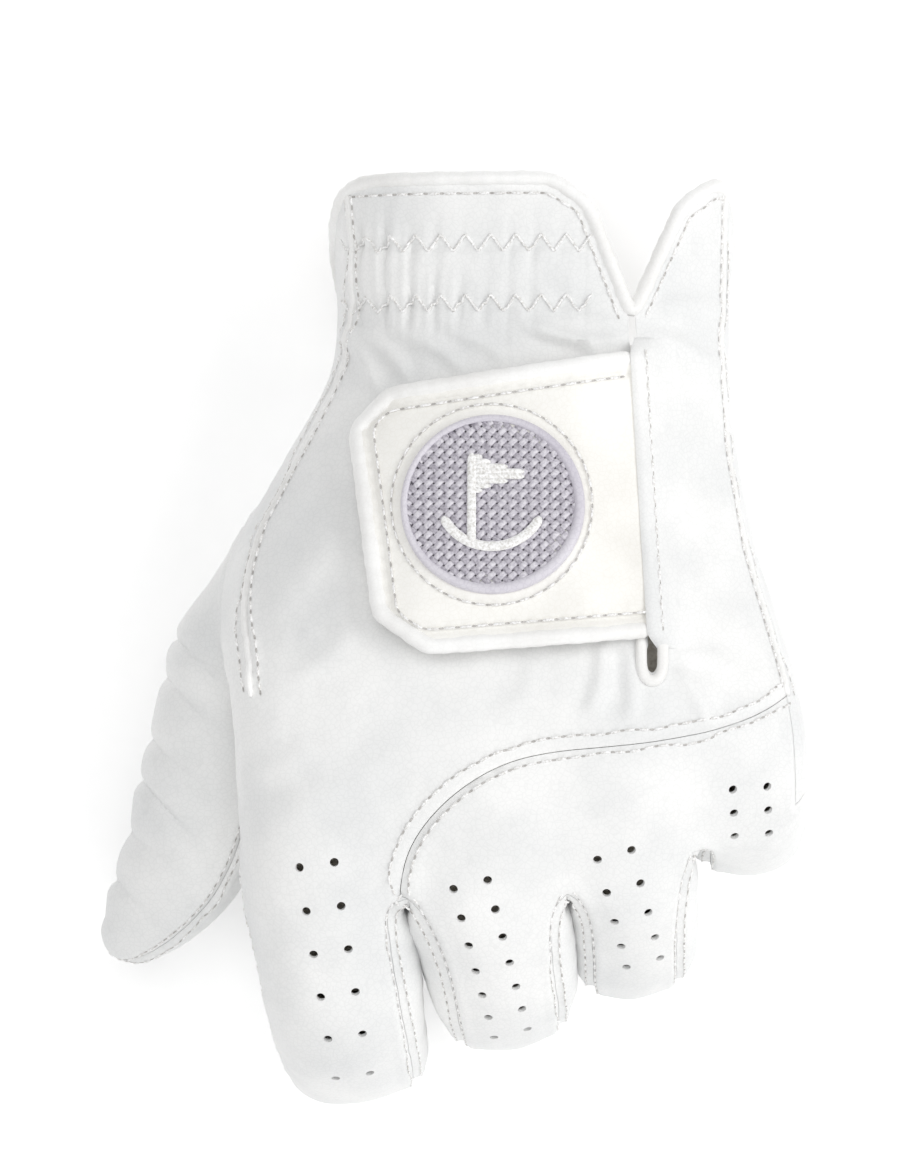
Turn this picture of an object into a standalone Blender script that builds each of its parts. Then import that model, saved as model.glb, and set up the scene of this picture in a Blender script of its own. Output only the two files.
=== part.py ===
# Golf glove for the left hand, lying palm down with curled fingers.
# +X is the little finger side, +Y the cuff, +Z the back of the hand. Metres.
import math

import bmesh
import bpy
from mathutils import Matrix, Vector
from mathutils.bvhtree import BVHTree

MM = 0.001

# leather
SKIN_T = 0.8 * MM
SEAM_HALF_GAP = 0.22 * MM
PIPING_R = 0.7 * MM
BINDING_R = 1.05 * MM

# the object is shifted so that its box is centred on X and Y
SHIFT = Vector((0.06, -0.42, 0.0))

# palm rings from cuff to knuckles, in mm:
# (y back, y palm, x thumb side, x little side, z back, z palm thumb side, z palm little side)
RINGS = (
    (75.5, 49.0, -20.6, 48.2, 47.0, 5.0, 5.0),
    (64.0, 43.0, -19.8, 47.6, 46.5, 1.5, 1.5),
    (50.0, 36.0, -19.8, 47.2, 47.0, -1.2, -1.2),
    (37.5, 28.0, -25.5, 48.0, 49.0, -1.6, -1.6),
    (24.0, 19.0, -33.5, 50.0, 51.5, -1.2, -1.0),
    (10.0, 7.0, -39.5, 53.5, 55.0, 3.5, 1.0),
    (-4.0, -3.0, -37.8, 57.6, 58.5, 32.0, 9.0),
    (-18.0, -16.0, -36.2, 59.6, 59.5, 34.0, 19.0),
)
BACK_FRACTIONS = (0.045, 0.15, 0.29, 0.43, 0.57, 0.68, 0.785, 0.89, 0.965)
SECTION_POWER = 2.5

# fingers in mm and degrees: root centre, yaw, slopes, lengths to the bends, length, widths, depths
FINGERS = {
    "index": ((-21.2, -36.0, 45.5), 9.5, (18, 66, 98), (26, 45), 63, (25.0, 24.4, 22.0), (23, 20, 16.5)),
    "middle": ((5.6, -38.5, 46.0), 10.0, (34, 79, 124), (21.5, 38), 56, (24.5, 21.5, 19.5), (23, 19, 16)),
    "ring": ((29.0, -34.5, 43.5), 4.5, (40, 82, 135), (19, 34), 51, (18.8, 18.6, 17.2), (22, 18, 15)),
    "little": ((49.2, -22.5, 40.0), 2.0, (54, 86, 132), (12, 26), 39, (18.6, 17.4, 16.0), (20, 17, 14.5)),
}
LOOP_PITCH = 6.5
CREASE_LENGTH = 7.0
WEB_DROP = 5.0
BEND_BLEND = 13.0

# thumb loops in mm: centre, heading, width, depth
THUMB_LOOPS = (
    ((-38.4, -1.0, 17.5), (-0.50, -0.86, -0.08), 18.5, 22.5),
    ((-38.8, -8.5, 17.5), (-0.22, -0.96, -0.10), 19.5, 21.5),
    ((-40.0, -17.0, 17.0), (-0.15, -0.97, -0.12), 20.5, 21.5),
    ((-41.5, -26.0, 15.5), (-0.22, -0.95, -0.18), 22.0, 20.5),
    ((-44.0, -34.5, 13.8), (-0.42, -0.88, -0.22), 22.5, 19.5),
    ((-48.0, -41.5, 12.0), (-0.62, -0.76, -0.22), 20.0, 18.0),
    ((-52.8, -46.8, 10.5), (-0.70, -0.70, -0.20), 15.5, 16.0),
    ((-56.0, -50.5, 9.3), (-0.70, -0.70, -0.20), 9.0, 10.5),
)
THUMB_CREASE_LOOPS = 1

# slit and V notch in the back, mm in plan
V_LEFT = (19.6, 77.0)
V_FOOT = (29.6, 52.8)
V_RIGHT = (41.0, 77.0)
SLIT_FOOT = (32.5, -2.4)
SLIT_WIDTH = 1.2
EYE_SIZE = (2.0, 4.8)

# closure tab in mm: plan corners and the heights of its layers above the back
TAB_TOP_LINE = ((-16.6, 40.2), (28.9, 47.2))
TAB_FOOT_LINE = ((-16.6, -2.6), (31.3, 0.9))
TAB_LEFT = ((0.0, -3.2), (0.16, -12.4), (0.86, -16.4), (1.0, -9.6))
TAB_RIGHT_X = (31.0, 28.6)
TAB_RISE = 12.0
LAYERS = {
    "loop_pad": (0.5, 1.5),
    "hook_pad": (1.8, 2.8),
    "tab_lining": (3.1, 3.8),
    "tab_top": (4.1, 5.0),
}
ROOT_LIFT = 0.7
STRIP_WIDTH = 6.2
STRIP_LAYER = (0.5, 1.4)
BADGE_CENTRE = (6.7, 22.3)
BADGE_R = 14.6
RIM_R = 15.9
RIM_TUBE_R = 0.9

# A point on the axis that each moving body turns about.
PIVOTS = {
    "tab": (29.96, 24.0, 52.3),
    "thumb": (-36.94, -3.42, 18.0),
    "index": (-20.59, -39.72, 44.6),
    "middle": (6.16, -41.82, 44.0),
    "ring": (29.26, -37.62, 41.2),
    "little": (49.36, -25.02, 37.2),
}
HAND_NODES = ("thumb_side_strip", "index_side_strip", "thumb_piping")

COLOURS = {
    "leather": (0.86, 0.86, 0.85),
    "binding": (0.92, 0.92, 0.91),
    "badge": (0.42, 0.40, 0.44),
    "rim": (0.78, 0.76, 0.80),
    "pad": (0.80, 0.80, 0.78),
    "elastic": (0.85, 0.85, 0.83),
}


def clear_scene():
    for old in list(bpy.data.objects):
        bpy.data.objects.remove(old, do_unlink=True)


def make_collections():
    glove = bpy.data.collections.new("golf_glove")
    cutters = bpy.data.collections.new("cutters")
    bpy.context.scene.collection.children.link(glove)
    bpy.context.scene.collection.children.link(cutters)
    cutters.hide_render = True
    return glove, cutters


def material(name, colour):
    mat = bpy.data.materials.new(name)
    mat.use_nodes = True
    shader = mat.node_tree.nodes["Principled BSDF"]
    shader.inputs["Base Color"].default_value = (*colour, 1.0)
    shader.inputs["Roughness"].default_value = 0.6
    return mat


def add_object(name, verts, faces, collection, finish):
    mesh = bpy.data.meshes.new(name)
    mesh.from_pydata([tuple(v) for v in verts], [], faces)
    mesh.update()
    obj = bpy.data.objects.new(name, mesh)
    collection.objects.link(obj)
    obj.data.materials.append(material(name, COLOURS[finish]))
    return obj


def smoothstep(t):
    t = min(1.0, max(0.0, t))
    return t * t * (3.0 - 2.0 * t)


# ---------------------------------------------------------------- skin cage


def ring_point(ring, index):
    """A point of a palm ring: 0 thumb side, 1-9 back, 10 little side, 11-19 palm."""
    y_back, y_palm, x_left, x_right, z_back, z_palm_left, z_palm_right = ring
    if index in (0, 10):
        fraction = 0.0 if index == 0 else 1.0
    elif index < 10:
        fraction = BACK_FRACTIONS[index - 1]
    else:
        fraction = BACK_FRACTIONS[19 - index]
    z_palm = z_palm_left + (z_palm_right - z_palm_left) * fraction
    z_mid = 0.5 * (z_back + z_palm)
    u = abs(2.0 * fraction - 1.0)
    rise = (1.0 - u**SECTION_POWER) ** (1.0 / SECTION_POWER)
    up = 1.0 if index < 10 else -1.0
    if index in (0, 10):
        rise = 0.0
    z = z_mid + up * rise * 0.5 * (z_back - z_palm)
    depth = smoothstep(((z_back - z) / (z_back - z_palm) - 0.25) / 0.7)
    y = y_back + (y_palm - y_back) * depth
    return Vector((x_left + (x_right - x_left) * fraction, y, z))


def loop_points(centre, heading, width, depth, up_hint=Vector((0.0, 0.0, 1.0))):
    """Eight points of a finger loop: outer side first, then over the back."""
    heading = heading.normalized()
    up = (up_hint - heading * up_hint.dot(heading)).normalized()
    side = heading.cross(up).normalized()
    grow = 1.108
    a = side * (0.5 * width * grow)
    b = up * (0.5 * depth * grow)
    k = 0.78
    return [
        centre + a,
        centre + a * k + b * k,
        centre + b,
        centre - a * k + b * k,
        centre - a,
        centre - a * k - b * k,
        centre - b,
        centre + a * k - b * k,
    ]


def finger_size(spec, s):
    """Width and depth of a finger at a distance along it."""
    length = spec[4]
    t = s / length
    widths, depths = spec[5], spec[6]
    if t < 0.5:
        f = t / 0.5
        width = widths[0] + (widths[1] - widths[0]) * f
        depth = depths[0] + (depths[1] - depths[0]) * f
    else:
        f = (t - 0.5) / 0.5
        width = widths[1] + (widths[2] - widths[1]) * f
        depth = depths[1] + (depths[2] - depths[1]) * f
    return width, depth


def finger_path(spec):
    """Sampled centre line: (distance, position, heading, up)."""
    root, yaw, slopes, bends, length = spec[0], spec[1], spec[2], spec[3], spec[4]
    yaw = math.radians(yaw)
    step = 0.5
    position = Vector(root)
    out = []
    s = 0.0
    while s <= length + 1e-6:
        slope = slopes[0]
        slope += (slopes[1] - slopes[0]) * smoothstep((s - bends[0]) / BEND_BLEND + 0.5)
        slope += (slopes[2] - slopes[1]) * smoothstep((s - bends[1]) / BEND_BLEND + 0.5)
        a = math.radians(slope)
        plan = Vector((math.sin(yaw), -math.cos(yaw), 0.0))
        heading = plan * math.cos(a) - Vector((0.0, 0.0, math.sin(a)))
        up = plan * math.sin(a) + Vector((0.0, 0.0, math.cos(a)))
        out.append((s, position.copy(), heading, up))
        position = position + heading * step
        s += step
    return out


def finger_loops(spec):
    """Cage loops of a finger, the root loop first, and the closing loop last."""
    path = finger_path(spec)
    length = spec[4]
    body = length - CREASE_LENGTH - 6.5
    count = max(3, round(body / LOOP_PITCH))
    places = [0.0, CREASE_LENGTH]
    places += [CREASE_LENGTH + body * (n + 1) / count for n in range(count)]
    places += [length - 2.2, length]
    loops = []
    for s in places:
        sample = path[min(len(path) - 1, int(round(s / 0.5)))]
        width, depth = finger_size(spec, s)
        shrink = 1.0
        if s > length - 2.5:
            shrink = 0.84
        if s > length - 0.5:
            shrink = 0.46
        loops.append(loop_points(sample[1], sample[2], width * shrink, depth * shrink, sample[3]))
    return loops


class Cage:
    """Control cage of the whole skin with a panel name on every face."""

    def __init__(self):
        self.verts = []
        self.faces = []
        self.tags = []

    def point(self, p):
        self.verts.append(Vector(p))
        return len(self.verts) - 1

    def quad(self, a, b, c, d, tag):
        self.faces.append((a, b, c, d))
        self.tags.append(tag)


def palm_tag(ring, column):
    """Panel of a palm face between ring and ring + 1."""
    if column in (0, 19):
        return "thumb_side_strip" if ring < 6 else "index_side_strip"
    if column in (3, 4, 5, 6, 7, 8) and ring == 7:
        return "knuckle_panel"
    if 1 <= column <= 8:
        return "back_panel"
    return "palm_panel"


STALL_TAGS = {
    "index": ("back", "back", "back", "inner", "inner", "front", "front", "front"),
    "middle": ("outer", "back", "back", "inner", "inner", "front", "front", "outer"),
    "ring": ("outer", "back", "back", "inner", "inner", "front", "front", "outer"),
    "little": ("outer", "back", "back", "back", "front", "front", "front", "outer"),
    "thumb": ("back", "back", "back", "back", "front", "front", "front", "front"),
}
TAG_NAMES = {"outer": "fourchette_outer", "inner": "fourchette_inner", "back": "back", "front": "front"}


def add_stall(cage, name, base, loops, crease_count):
    """Joins the loops of one stall to its base loop and closes the tip."""
    tags = STALL_TAGS[name]
    previous = base
    for level, loop in enumerate(loops):
        current = [cage.point(p) for p in loop]
        for n in range(8):
            m = (n + 1) % 8
            tag = f"{name}_root_crease" if level < crease_count else f"{name}_{TAG_NAMES[tags[n]]}"
            cage.quad(previous[n], current[n], current[m], previous[m], tag)
        previous = current
    p = previous
    front = f"{name}_front"
    cage.quad(p[3], p[2], p[1], p[0], f"{name}_back")
    cage.quad(p[7], p[4], p[3], p[0], front)
    cage.quad(p[7], p[6], p[5], p[4], front)


def average(points):
    total = Vector((0.0, 0.0, 0.0))
    for p in points:
        total += p
    return total / len(points)


def knuckle_ring(cage, roots):
    """Ring 8 and the three webs, shared by the roots of the fingers."""
    names = list(FINGERS)
    ring = [None] * 20
    webs = []
    ring[0] = cage.point(roots["index"][0])
    ring[10] = cage.point(roots["little"][4])
    for k, name in enumerate(names):
        root = roots[name]
        ring[2 + 2 * k] = cage.point(root[2])
        ring[18 - 2 * k] = cage.point(root[6])
    ring[1] = cage.point(roots["index"][1])
    ring[19] = cage.point(roots["index"][7])
    ring[9] = cage.point(roots["little"][3])
    ring[11] = cage.point(roots["little"][5])
    for k in range(3):
        here, there = roots[names[k]], roots[names[k + 1]]
        ring[3 + 2 * k] = cage.point(average((here[3], there[1])))
        ring[17 - 2 * k] = cage.point(average((here[5], there[7])))
        webs.append(cage.point(average((here[4], there[0])) + Vector((0.0, -WEB_DROP, -1.0))))
    return ring, webs


def build_cage():
    cage = Cage()
    rings = [[cage.point(ring_point(r, i)) for i in range(20)] for r in RINGS]
    stalls = {name: finger_loops(spec) for name, spec in FINGERS.items()}
    roots = {name: loops[0] for name, loops in stalls.items()}
    last, webs = knuckle_ring(cage, roots)
    rings.append(last)
    for j in range(len(rings) - 1):
        for i in range(20):
            if j in (4, 5) and i in (18, 19):
                continue
            k = (i + 1) % 20
            cage.quad(rings[j][i], rings[j + 1][i], rings[j + 1][k], rings[j][k], palm_tag(j, i))
    for k, name in enumerate(FINGERS):
        left = last[0] if k == 0 else webs[k - 1]
        right = last[10] if k == 3 else webs[k]
        back = [last[1 + 2 * k], last[2 + 2 * k], last[3 + 2 * k]]
        front = [last[17 - 2 * k], last[18 - 2 * k], last[19 - 2 * k]]
        add_stall(cage, name, [left] + back + [right] + front, stalls[name][1:], 1)
    r4, r5, r6 = rings[4], rings[5], rings[6]
    base = [r4[19], r4[0], r5[0], r6[0], r6[19], r6[18], r5[18], r4[18]]
    loops = [loop_points(Vector(c), Vector(h), w, d) for c, h, w, d in THUMB_LOOPS]
    add_stall(cage, "thumb", base, loops, THUMB_CREASE_LOOPS + 1)
    return cage


def skin_mesh(cage, collection):
    """Subdivides the cage once and returns vertices, faces and panel names."""
    names = sorted(set(cage.tags))
    used = sorted({v for face in cage.faces for v in face})
    index = {v: n for n, v in enumerate(used)}
    verts = [(cage.verts[v] + SHIFT) * MM for v in used]
    faces = [[index[v] for v in face] for face in cage.faces]
    mesh = bpy.data.meshes.new("skin_cage")
    mesh.from_pydata([tuple(v) for v in verts], [], faces)
    tag = mesh.attributes.new("panel", "INT", "FACE")
    for n, name in enumerate(cage.tags):
        tag.data[n].value = names.index(name)
    obj = bpy.data.objects.new("skin_cage", mesh)
    collection.objects.link(obj)
    obj.display_type = "WIRE"
    obj.hide_render = True
    smooth = obj.modifiers.new("smooth", "SUBSURF")
    smooth.levels = 1
    smooth.render_levels = 1
    bpy.context.view_layer.update()
    final = obj.evaluated_get(bpy.context.evaluated_depsgraph_get()).to_mesh()
    points = [Vector((v.co.x, v.co.y, max(0.0, v.co.z))) for v in final.vertices]
    polygons = [tuple(p.vertices) for p in final.polygons]
    panels = [names[d.value] for d in final.attributes["panel"].data]
    return points, polygons, panels


# ------------------------------------------------------------- shell panels


def vertex_normals(points, polygons):
    normals = [Vector((0.0, 0.0, 0.0)) for _ in points]
    for poly in polygons:
        corners = [points[v] for v in poly]
        n = (corners[2] - corners[0]).cross(corners[3] - corners[1])
        for v in poly:
            normals[v] += n
    return [n.normalized() for n in normals]


def edge_pull(points, polygons, normals):
    """How far every rim vertex of a panel moves into the panel for the seam gap."""
    edges = {}
    for poly in polygons:
        centre = average([points[v] for v in poly])
        for n, a in enumerate(poly):
            b = poly[(n + 1) % len(poly)]
            edges.setdefault(frozenset((a, b)), []).append((a, b, centre))
    pulls = {}
    rim = []
    for items in edges.values():
        if len(items) != 1:
            continue
        a, b, centre = items[0]
        rim.append((a, b))
        along = (points[b] - points[a]).normalized()
        toward = centre - points[a]
        inward = toward - along * toward.dot(along)
        for v in (a, b):
            side = inward - normals[v] * inward.dot(normals[v])
            pulls.setdefault(v, []).append(side.normalized())
    moves = {}
    for v, sides in pulls.items():
        total = sum(sides, Vector((0.0, 0.0, 0.0)))
        if len(sides) == 2:
            total = total / max(0.5, 1.0 + sides[0].dot(sides[1]))
        moves[v] = total * SEAM_HALF_GAP
    return moves, rim


def shell_panel(name, skin, normals, collection):
    """A closed leather panel made of the skin faces that carry its name."""
    points, polygons, panels = skin
    own = [p for p, tag in zip(polygons, panels) if tag == name]
    moves, rim = edge_pull(points, own, normals)
    used = sorted({v for p in own for v in p})
    index = {v: n for n, v in enumerate(used)}
    zero = Vector((0.0, 0.0, 0.0))
    outer = [points[v] + moves.get(v, zero) for v in used]
    inner = [p - normals[v] * SKIN_T for v, p in zip(used, outer)]
    for p in inner:
        p.z = max(p.z, 0.3 * MM)
    shift = len(used)
    faces = [[index[v] for v in p] for p in own]
    faces += [[index[v] + shift for v in reversed(p)] for p in own]
    for a, b in rim:
        ia, ib = index[a], index[b]
        faces.append([ib, ia, ia + shift, ib + shift])
    return add_object(name, outer + inner, faces, collection, "leather")


def seam_chain(skin, first, second):
    """Vertices in order along the seam between two sets of panels."""
    points, polygons, panels = skin
    owner = {}
    for poly, tag in zip(polygons, panels):
        for n, a in enumerate(poly):
            b = poly[(n + 1) % len(poly)]
            owner.setdefault(frozenset((a, b)), []).append(tag)
    links = {}
    for edge, tags in owner.items():
        tags = tags if len(tags) == 2 else tags + ["open"]
        if (tags[0] in first and tags[1] in second) or (tags[1] in first and tags[0] in second):
            a, b = tuple(edge)
            links.setdefault(a, []).append(b)
            links.setdefault(b, []).append(a)
    ends = [v for v, near in links.items() if len(near) == 1]
    start = max(ends or links, key=lambda v: points[v].y)
    chain = [start]
    while True:
        options = [v for v in links[chain[-1]] if v not in chain]
        if not options:
            return chain
        chain.append(options[0])


# -------------------------------------------------------------------- tubes


def tube(name, path, radius, collection, finish, cyclic=False):
    """A round cord along a path, with closed ends."""
    curve = bpy.data.curves.new(name + "_path", "CURVE")
    curve.dimensions = "3D"
    curve.bevel_depth = radius
    curve.bevel_resolution = 1
    curve.use_fill_caps = not cyclic
    spline = curve.splines.new("POLY")
    spline.points.add(len(path) - 1)
    for p, co in zip(spline.points, path):
        p.co = (*co, 1.0)
    spline.use_cyclic_u = cyclic
    carrier = bpy.data.objects.new(name + "_carrier", curve)
    collection.objects.link(carrier)
    bpy.context.view_layer.update()
    graph = bpy.context.evaluated_depsgraph_get()
    mesh = bpy.data.meshes.new_from_object(carrier.evaluated_get(graph))
    mesh.name = name
    bpy.data.objects.remove(carrier, do_unlink=True)
    obj = bpy.data.objects.new(name, mesh)
    collection.objects.link(obj)
    mesh.materials.clear()
    mesh.materials.append(material(name, COLOURS[finish]))
    weld(obj)
    return obj


def weld(obj):
    bm = bmesh.new()
    bm.from_mesh(obj.data)
    bmesh.ops.remove_doubles(bm, verts=bm.verts, dist=0.00001)
    bmesh.ops.recalc_face_normals(bm, faces=bm.faces)
    bm.to_mesh(obj.data)
    bm.free()


# --------------------------------------------------------------- back layers


class BackSurface:
    """Heights of the back of the hand in plan."""

    def __init__(self, skin):
        self.tree = BVHTree.FromPolygons(skin[0], skin[1])

    def height(self, x, y):
        top = Vector((x * MM, y * MM, 0.2))
        hit = self.tree.ray_cast(top, Vector((0.0, 0.0, -1.0)))
        return hit[0].z / MM

    def point(self, x, y, lift):
        return Vector((x * MM, y * MM, (self.height(x, y) + lift) * MM))


def line_y(line, x):
    (x0, y0), (x1, y1) = line
    return y0 + (y1 - y0) * (x - x0) / (x1 - x0)


def left_x(v):
    for (v0, x0), (v1, x1) in zip(TAB_LEFT, TAB_LEFT[1:]):
        if v <= v1:
            return x0 + (x1 - x0) * (v - v0) / (v1 - v0)
    return TAB_LEFT[-1][1]


def tab_plan(u, v, inset):
    """Plan position on the tab: u from the free end to the root, v from foot to top."""
    root = TAB_RIGHT_X[0] + (TAB_RIGHT_X[1] - TAB_RIGHT_X[0]) * v
    low, high = inset / 45.0, 1.0 - inset / 45.0
    w = low + (high - low) * v
    x = left_x(w) + inset + (root - left_x(w) - inset) * u
    y = line_y(TAB_FOOT_LINE, x) * (1.0 - w) + line_y(TAB_TOP_LINE, x) * w
    return x, y, root


def layer_lift(x, root, lift):
    """Layers drop to the strip near the root of the tab."""
    t = smoothstep((root - x) / TAB_RISE)
    low = ROOT_LIFT + (lift - LAYERS["tab_lining"][0])
    return low + (lift - low) * t


def tab_layer(name, back, inset, u_span, lifts, collection, finish, columns=12):
    """A thin curved plate that follows the back of the hand."""
    rows_v = [0.0, 0.16, 0.33, 0.5, 0.67, 0.86, 1.0]
    low, high = [], []
    for v in rows_v:
        for c in range(columns + 1):
            u = u_span[0] + (u_span[1] - u_span[0]) * c / columns
            x, y, root = tab_plan(u, v, inset)
            base = back.height(x, y)
            bottom, top = lifts
            if name in ("tab_lining", "tab_top"):
                bottom = layer_lift(x, root, bottom)
                top = layer_lift(x, root, top)
            low.append(Vector((x, y, base + bottom)) * MM)
            high.append(Vector((x, y, base + top)) * MM)
    return plate(name, low, high, len(rows_v), columns + 1, collection, finish)


def plate(name, low, high, rows, columns, collection, finish):
    """Closes two point grids into one solid."""
    count = rows * columns
    faces = []
    for r in range(rows - 1):
        for c in range(columns - 1):
            a = r * columns + c
            quad = [a, a + 1, a + columns + 1, a + columns]
            faces.append([v + count for v in quad])
            faces.append(list(reversed(quad)))
    rim = [c for c in range(columns)]
    rim += [r * columns + columns - 1 for r in range(1, rows)]
    rim += [(rows - 1) * columns + c for c in range(columns - 2, -1, -1)]
    rim += [r * columns for r in range(rows - 2, 0, -1)]
    for n, a in enumerate(rim):
        b = rim[(n + 1) % len(rim)]
        faces.append([a, b, b + count, a + count])
    obj = add_object(name, low + high, faces, collection, finish)
    weld(obj)
    return obj


def tab_binding(back, collection):
    """Rolled edge on the three free sides of the tab."""
    inset = 1.2
    plan = [tab_plan(u / 8.0, 0.0, inset) for u in range(8, 0, -1)]
    plan += [tab_plan(0.0, v, inset) for v in (0.0, 0.16, 0.33, 0.5, 0.67, 0.86, 1.0)]
    plan += [tab_plan(u / 8.0, 1.0, inset) for u in range(1, 9)]
    lift = 0.5 * (LAYERS["tab_lining"][0] + LAYERS["tab_top"][1])
    path = []
    for x, y, root in plan:
        x = min(x, root - 0.6)
        path.append(back.point(x, y, layer_lift(x, root, lift)))
    return tube("tab_binding", path, BINDING_R, collection, "binding")


def slit_x(y):
    (x0, y0), (x1, y1) = V_FOOT, SLIT_FOOT
    return x0 + (x1 - x0) * (y - y0) / (y1 - y0)


def edge_strip(back, collection):
    """Strip along the little finger side of the slit that holds the tab's root."""
    low, high = [], []
    rows = 12
    for r in range(rows):
        y = 48.5 - (48.5 - 0.5) * r / (rows - 1)
        for c in range(4):
            x = slit_x(y) + 1.0 + STRIP_WIDTH * c / 3
            base = back.height(x, y)
            low.append(Vector((x, y, base + STRIP_LAYER[0])) * MM)
            high.append(Vector((x, y, base + STRIP_LAYER[1])) * MM)
    return plate("slit_edge_strip", low, high, rows, 4, collection, "binding")


def slit_end_binding(back, collection):
    """U of rolled edge round the eyelet at the foot of the slit."""
    cx, cy = SLIT_FOOT
    plan = [(cx - 2.9, cy + 1.6), (cx - 2.8, cy - 0.8)]
    for n in range(1, 8):
        a = math.pi + math.pi * n / 8
        plan.append((cx + 2.8 * math.cos(a), cy - 0.8 + 3.6 * math.sin(a)))
    plan += [(cx + 2.8, cy - 0.8), (cx + 2.9, cy + 1.6)]
    path = [back.point(x, y, 1.35) for x, y in plan]
    return tube("slit_end_binding", path, 0.8 * MM, collection, "binding")


def elastic(back, collection):
    """Flat elastic inside the wrist, under the smocked part of the back."""
    low, high = [], []
    rows, columns = 3, 12
    for r in range(rows):
        y = 54.0 + 13.0 * r / (rows - 1)
        for c in range(columns):
            x = -9.0 + 27.0 * c / (columns - 1)
            base = back.height(x, y)
            low.append(Vector((x, y, base - 2.3)) * MM)
            high.append(Vector((x, y, base - 1.5)) * MM)
    return plate("wrist_elastic", low, high, rows, columns, collection, "elastic")


def badge_frame(back):
    """Centre and axes of the badge plane on the tab top."""
    x, y = BADGE_CENTRE
    z = LAYERS["tab_top"][1]
    reach = 9.0
    east = back.point(x + reach, y, z) - back.point(x - reach, y, z)
    north = back.point(x, y + reach, z) - back.point(x, y - reach, z)
    normal = east.cross(north).normalized()
    east = (east - normal * east.dot(normal)).normalized()
    centre = back.point(x, y, z)
    return centre, east, normal.cross(east), normal


def badge_disc(back, collection):
    """Woven disc of the badge."""
    centre, east, north, normal = badge_frame(back)
    bpy.ops.mesh.primitive_cylinder_add(vertices=48, radius=BADGE_R * MM, depth=0.8 * MM)
    obj = bpy.context.object
    adopt(obj, "badge_disc", collection, "badge")
    place(obj, centre + normal * 1.1 * MM, east, north, normal)
    return obj


def badge_rim(back, collection):
    """Raised ring round the disc."""
    centre, east, north, normal = badge_frame(back)
    bpy.ops.mesh.primitive_torus_add(
        major_segments=48, minor_segments=8, major_radius=RIM_R * MM, minor_radius=RIM_TUBE_R * MM
    )
    obj = bpy.context.object
    adopt(obj, "badge_rim", collection, "rim")
    place(obj, centre + normal * 1.9 * MM, east, north, normal)
    return obj


def badge_motif(back, collection):
    """Plain raised ring and bar, standing in for the mark on the badge."""
    centre, east, north, normal = badge_frame(back)
    bpy.ops.mesh.primitive_torus_add(
        major_segments=36, minor_segments=6, major_radius=7.0 * MM, minor_radius=0.5 * MM
    )
    obj = bpy.context.object
    adopt(obj, "badge_motif", collection, "rim")
    place(obj, centre + normal * (1.1 + 0.4 + 0.3 + 0.5) * MM, east, north, normal)
    return obj


def adopt(obj, name, collection, finish):
    obj.name = name
    obj.data.name = name
    for old in list(obj.users_collection):
        old.objects.unlink(obj)
    collection.objects.link(obj)
    obj.data.materials.clear()
    obj.data.materials.append(material(name, COLOURS[finish]))


def place(obj, origin, east, north, normal):
    """Turns a primitive to the given axes and applies it to the mesh."""
    for v in obj.data.vertices:
        p = v.co
        v.co = origin + east * p.x + north * p.y + normal * p.z
    obj.data.update()


# ------------------------------------------------------------------- cutters


def prism(name, plan, low, high, collection):
    """Upright prism that cuts the back panel."""
    count = len(plan)
    verts = [Vector((x, y, low)) * MM for x, y in plan]
    verts += [Vector((x, y, high)) * MM for x, y in plan]
    faces = [list(range(count))[::-1], list(range(count, 2 * count))]
    for n in range(count):
        m = (n + 1) % count
        faces.append([n, m, m + count, n + count])
    obj = add_object(name, verts, faces, collection, "leather")
    obj.hide_render = True
    obj.display_type = "WIRE"
    return obj


def cut(obj, cutter):
    step = obj.modifiers.new(cutter.name, "BOOLEAN")
    step.operation = "DIFFERENCE"
    step.solver = "EXACT"
    step.object = cutter


def slit_cutter(collection):
    """V notch, slit and oval eyelet as one prism."""
    half = 0.5 * SLIT_WIDTH
    (fx, fy), (sx, sy) = V_FOOT, SLIT_FOOT
    plan = [V_LEFT, (fx - half, fy)]
    start = math.acos(-half / (0.5 * EYE_SIZE[0]))
    end = 2.0 * math.pi + math.acos(half / (0.5 * EYE_SIZE[0]))
    for n in range(15):
        a = start + (end - start) * n / 14
        plan.append((sx + 0.5 * EYE_SIZE[0] * math.cos(a), sy + 0.5 * EYE_SIZE[1] * math.sin(a)))
    plan += [(fx + half, fy), V_RIGHT]
    return prism("slit_cutter", plan, 30.0, 90.0, collection)


def notch_sides(y):
    """X of the two sides of the V notch at a height in plan."""
    t = (y - V_FOOT[1]) / (V_LEFT[1] - V_FOOT[1])
    left, right = V_FOOT[0] - 0.5 * SLIT_WIDTH, V_FOOT[0] + 0.5 * SLIT_WIDTH
    return left + (V_LEFT[0] - left) * t, right + (V_RIGHT[0] - right) * t


def notch_path(back):
    """From the top of the little finger side of the notch to the top of the thumb side."""
    clear = 1.65
    heights = [74.4, 71.0, 67.5, 64.0, 60.5, 57.6, 56.0]
    foot = 55.0
    path = []
    right_corner = back.point(notch_sides(74.4)[1] - 1.0, 74.4, -0.4)
    path.append(right_corner + Vector((0.5, 2.5, 0.0)) * MM)
    for y in heights:
        path.append(back.point(notch_sides(y)[1] - clear, y, -0.4))
    path.append(back.point(0.5 * sum(notch_sides(foot)), foot, -0.4))
    for y in reversed(heights):
        path.append(back.point(notch_sides(y)[0] + clear, y, -0.4))
    left_corner = back.point(notch_sides(74.4)[0] + 1.0, 74.4, -0.4)
    path.append(left_corner + Vector((-0.5, 2.5, 0.0)) * MM)
    return path


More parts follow.
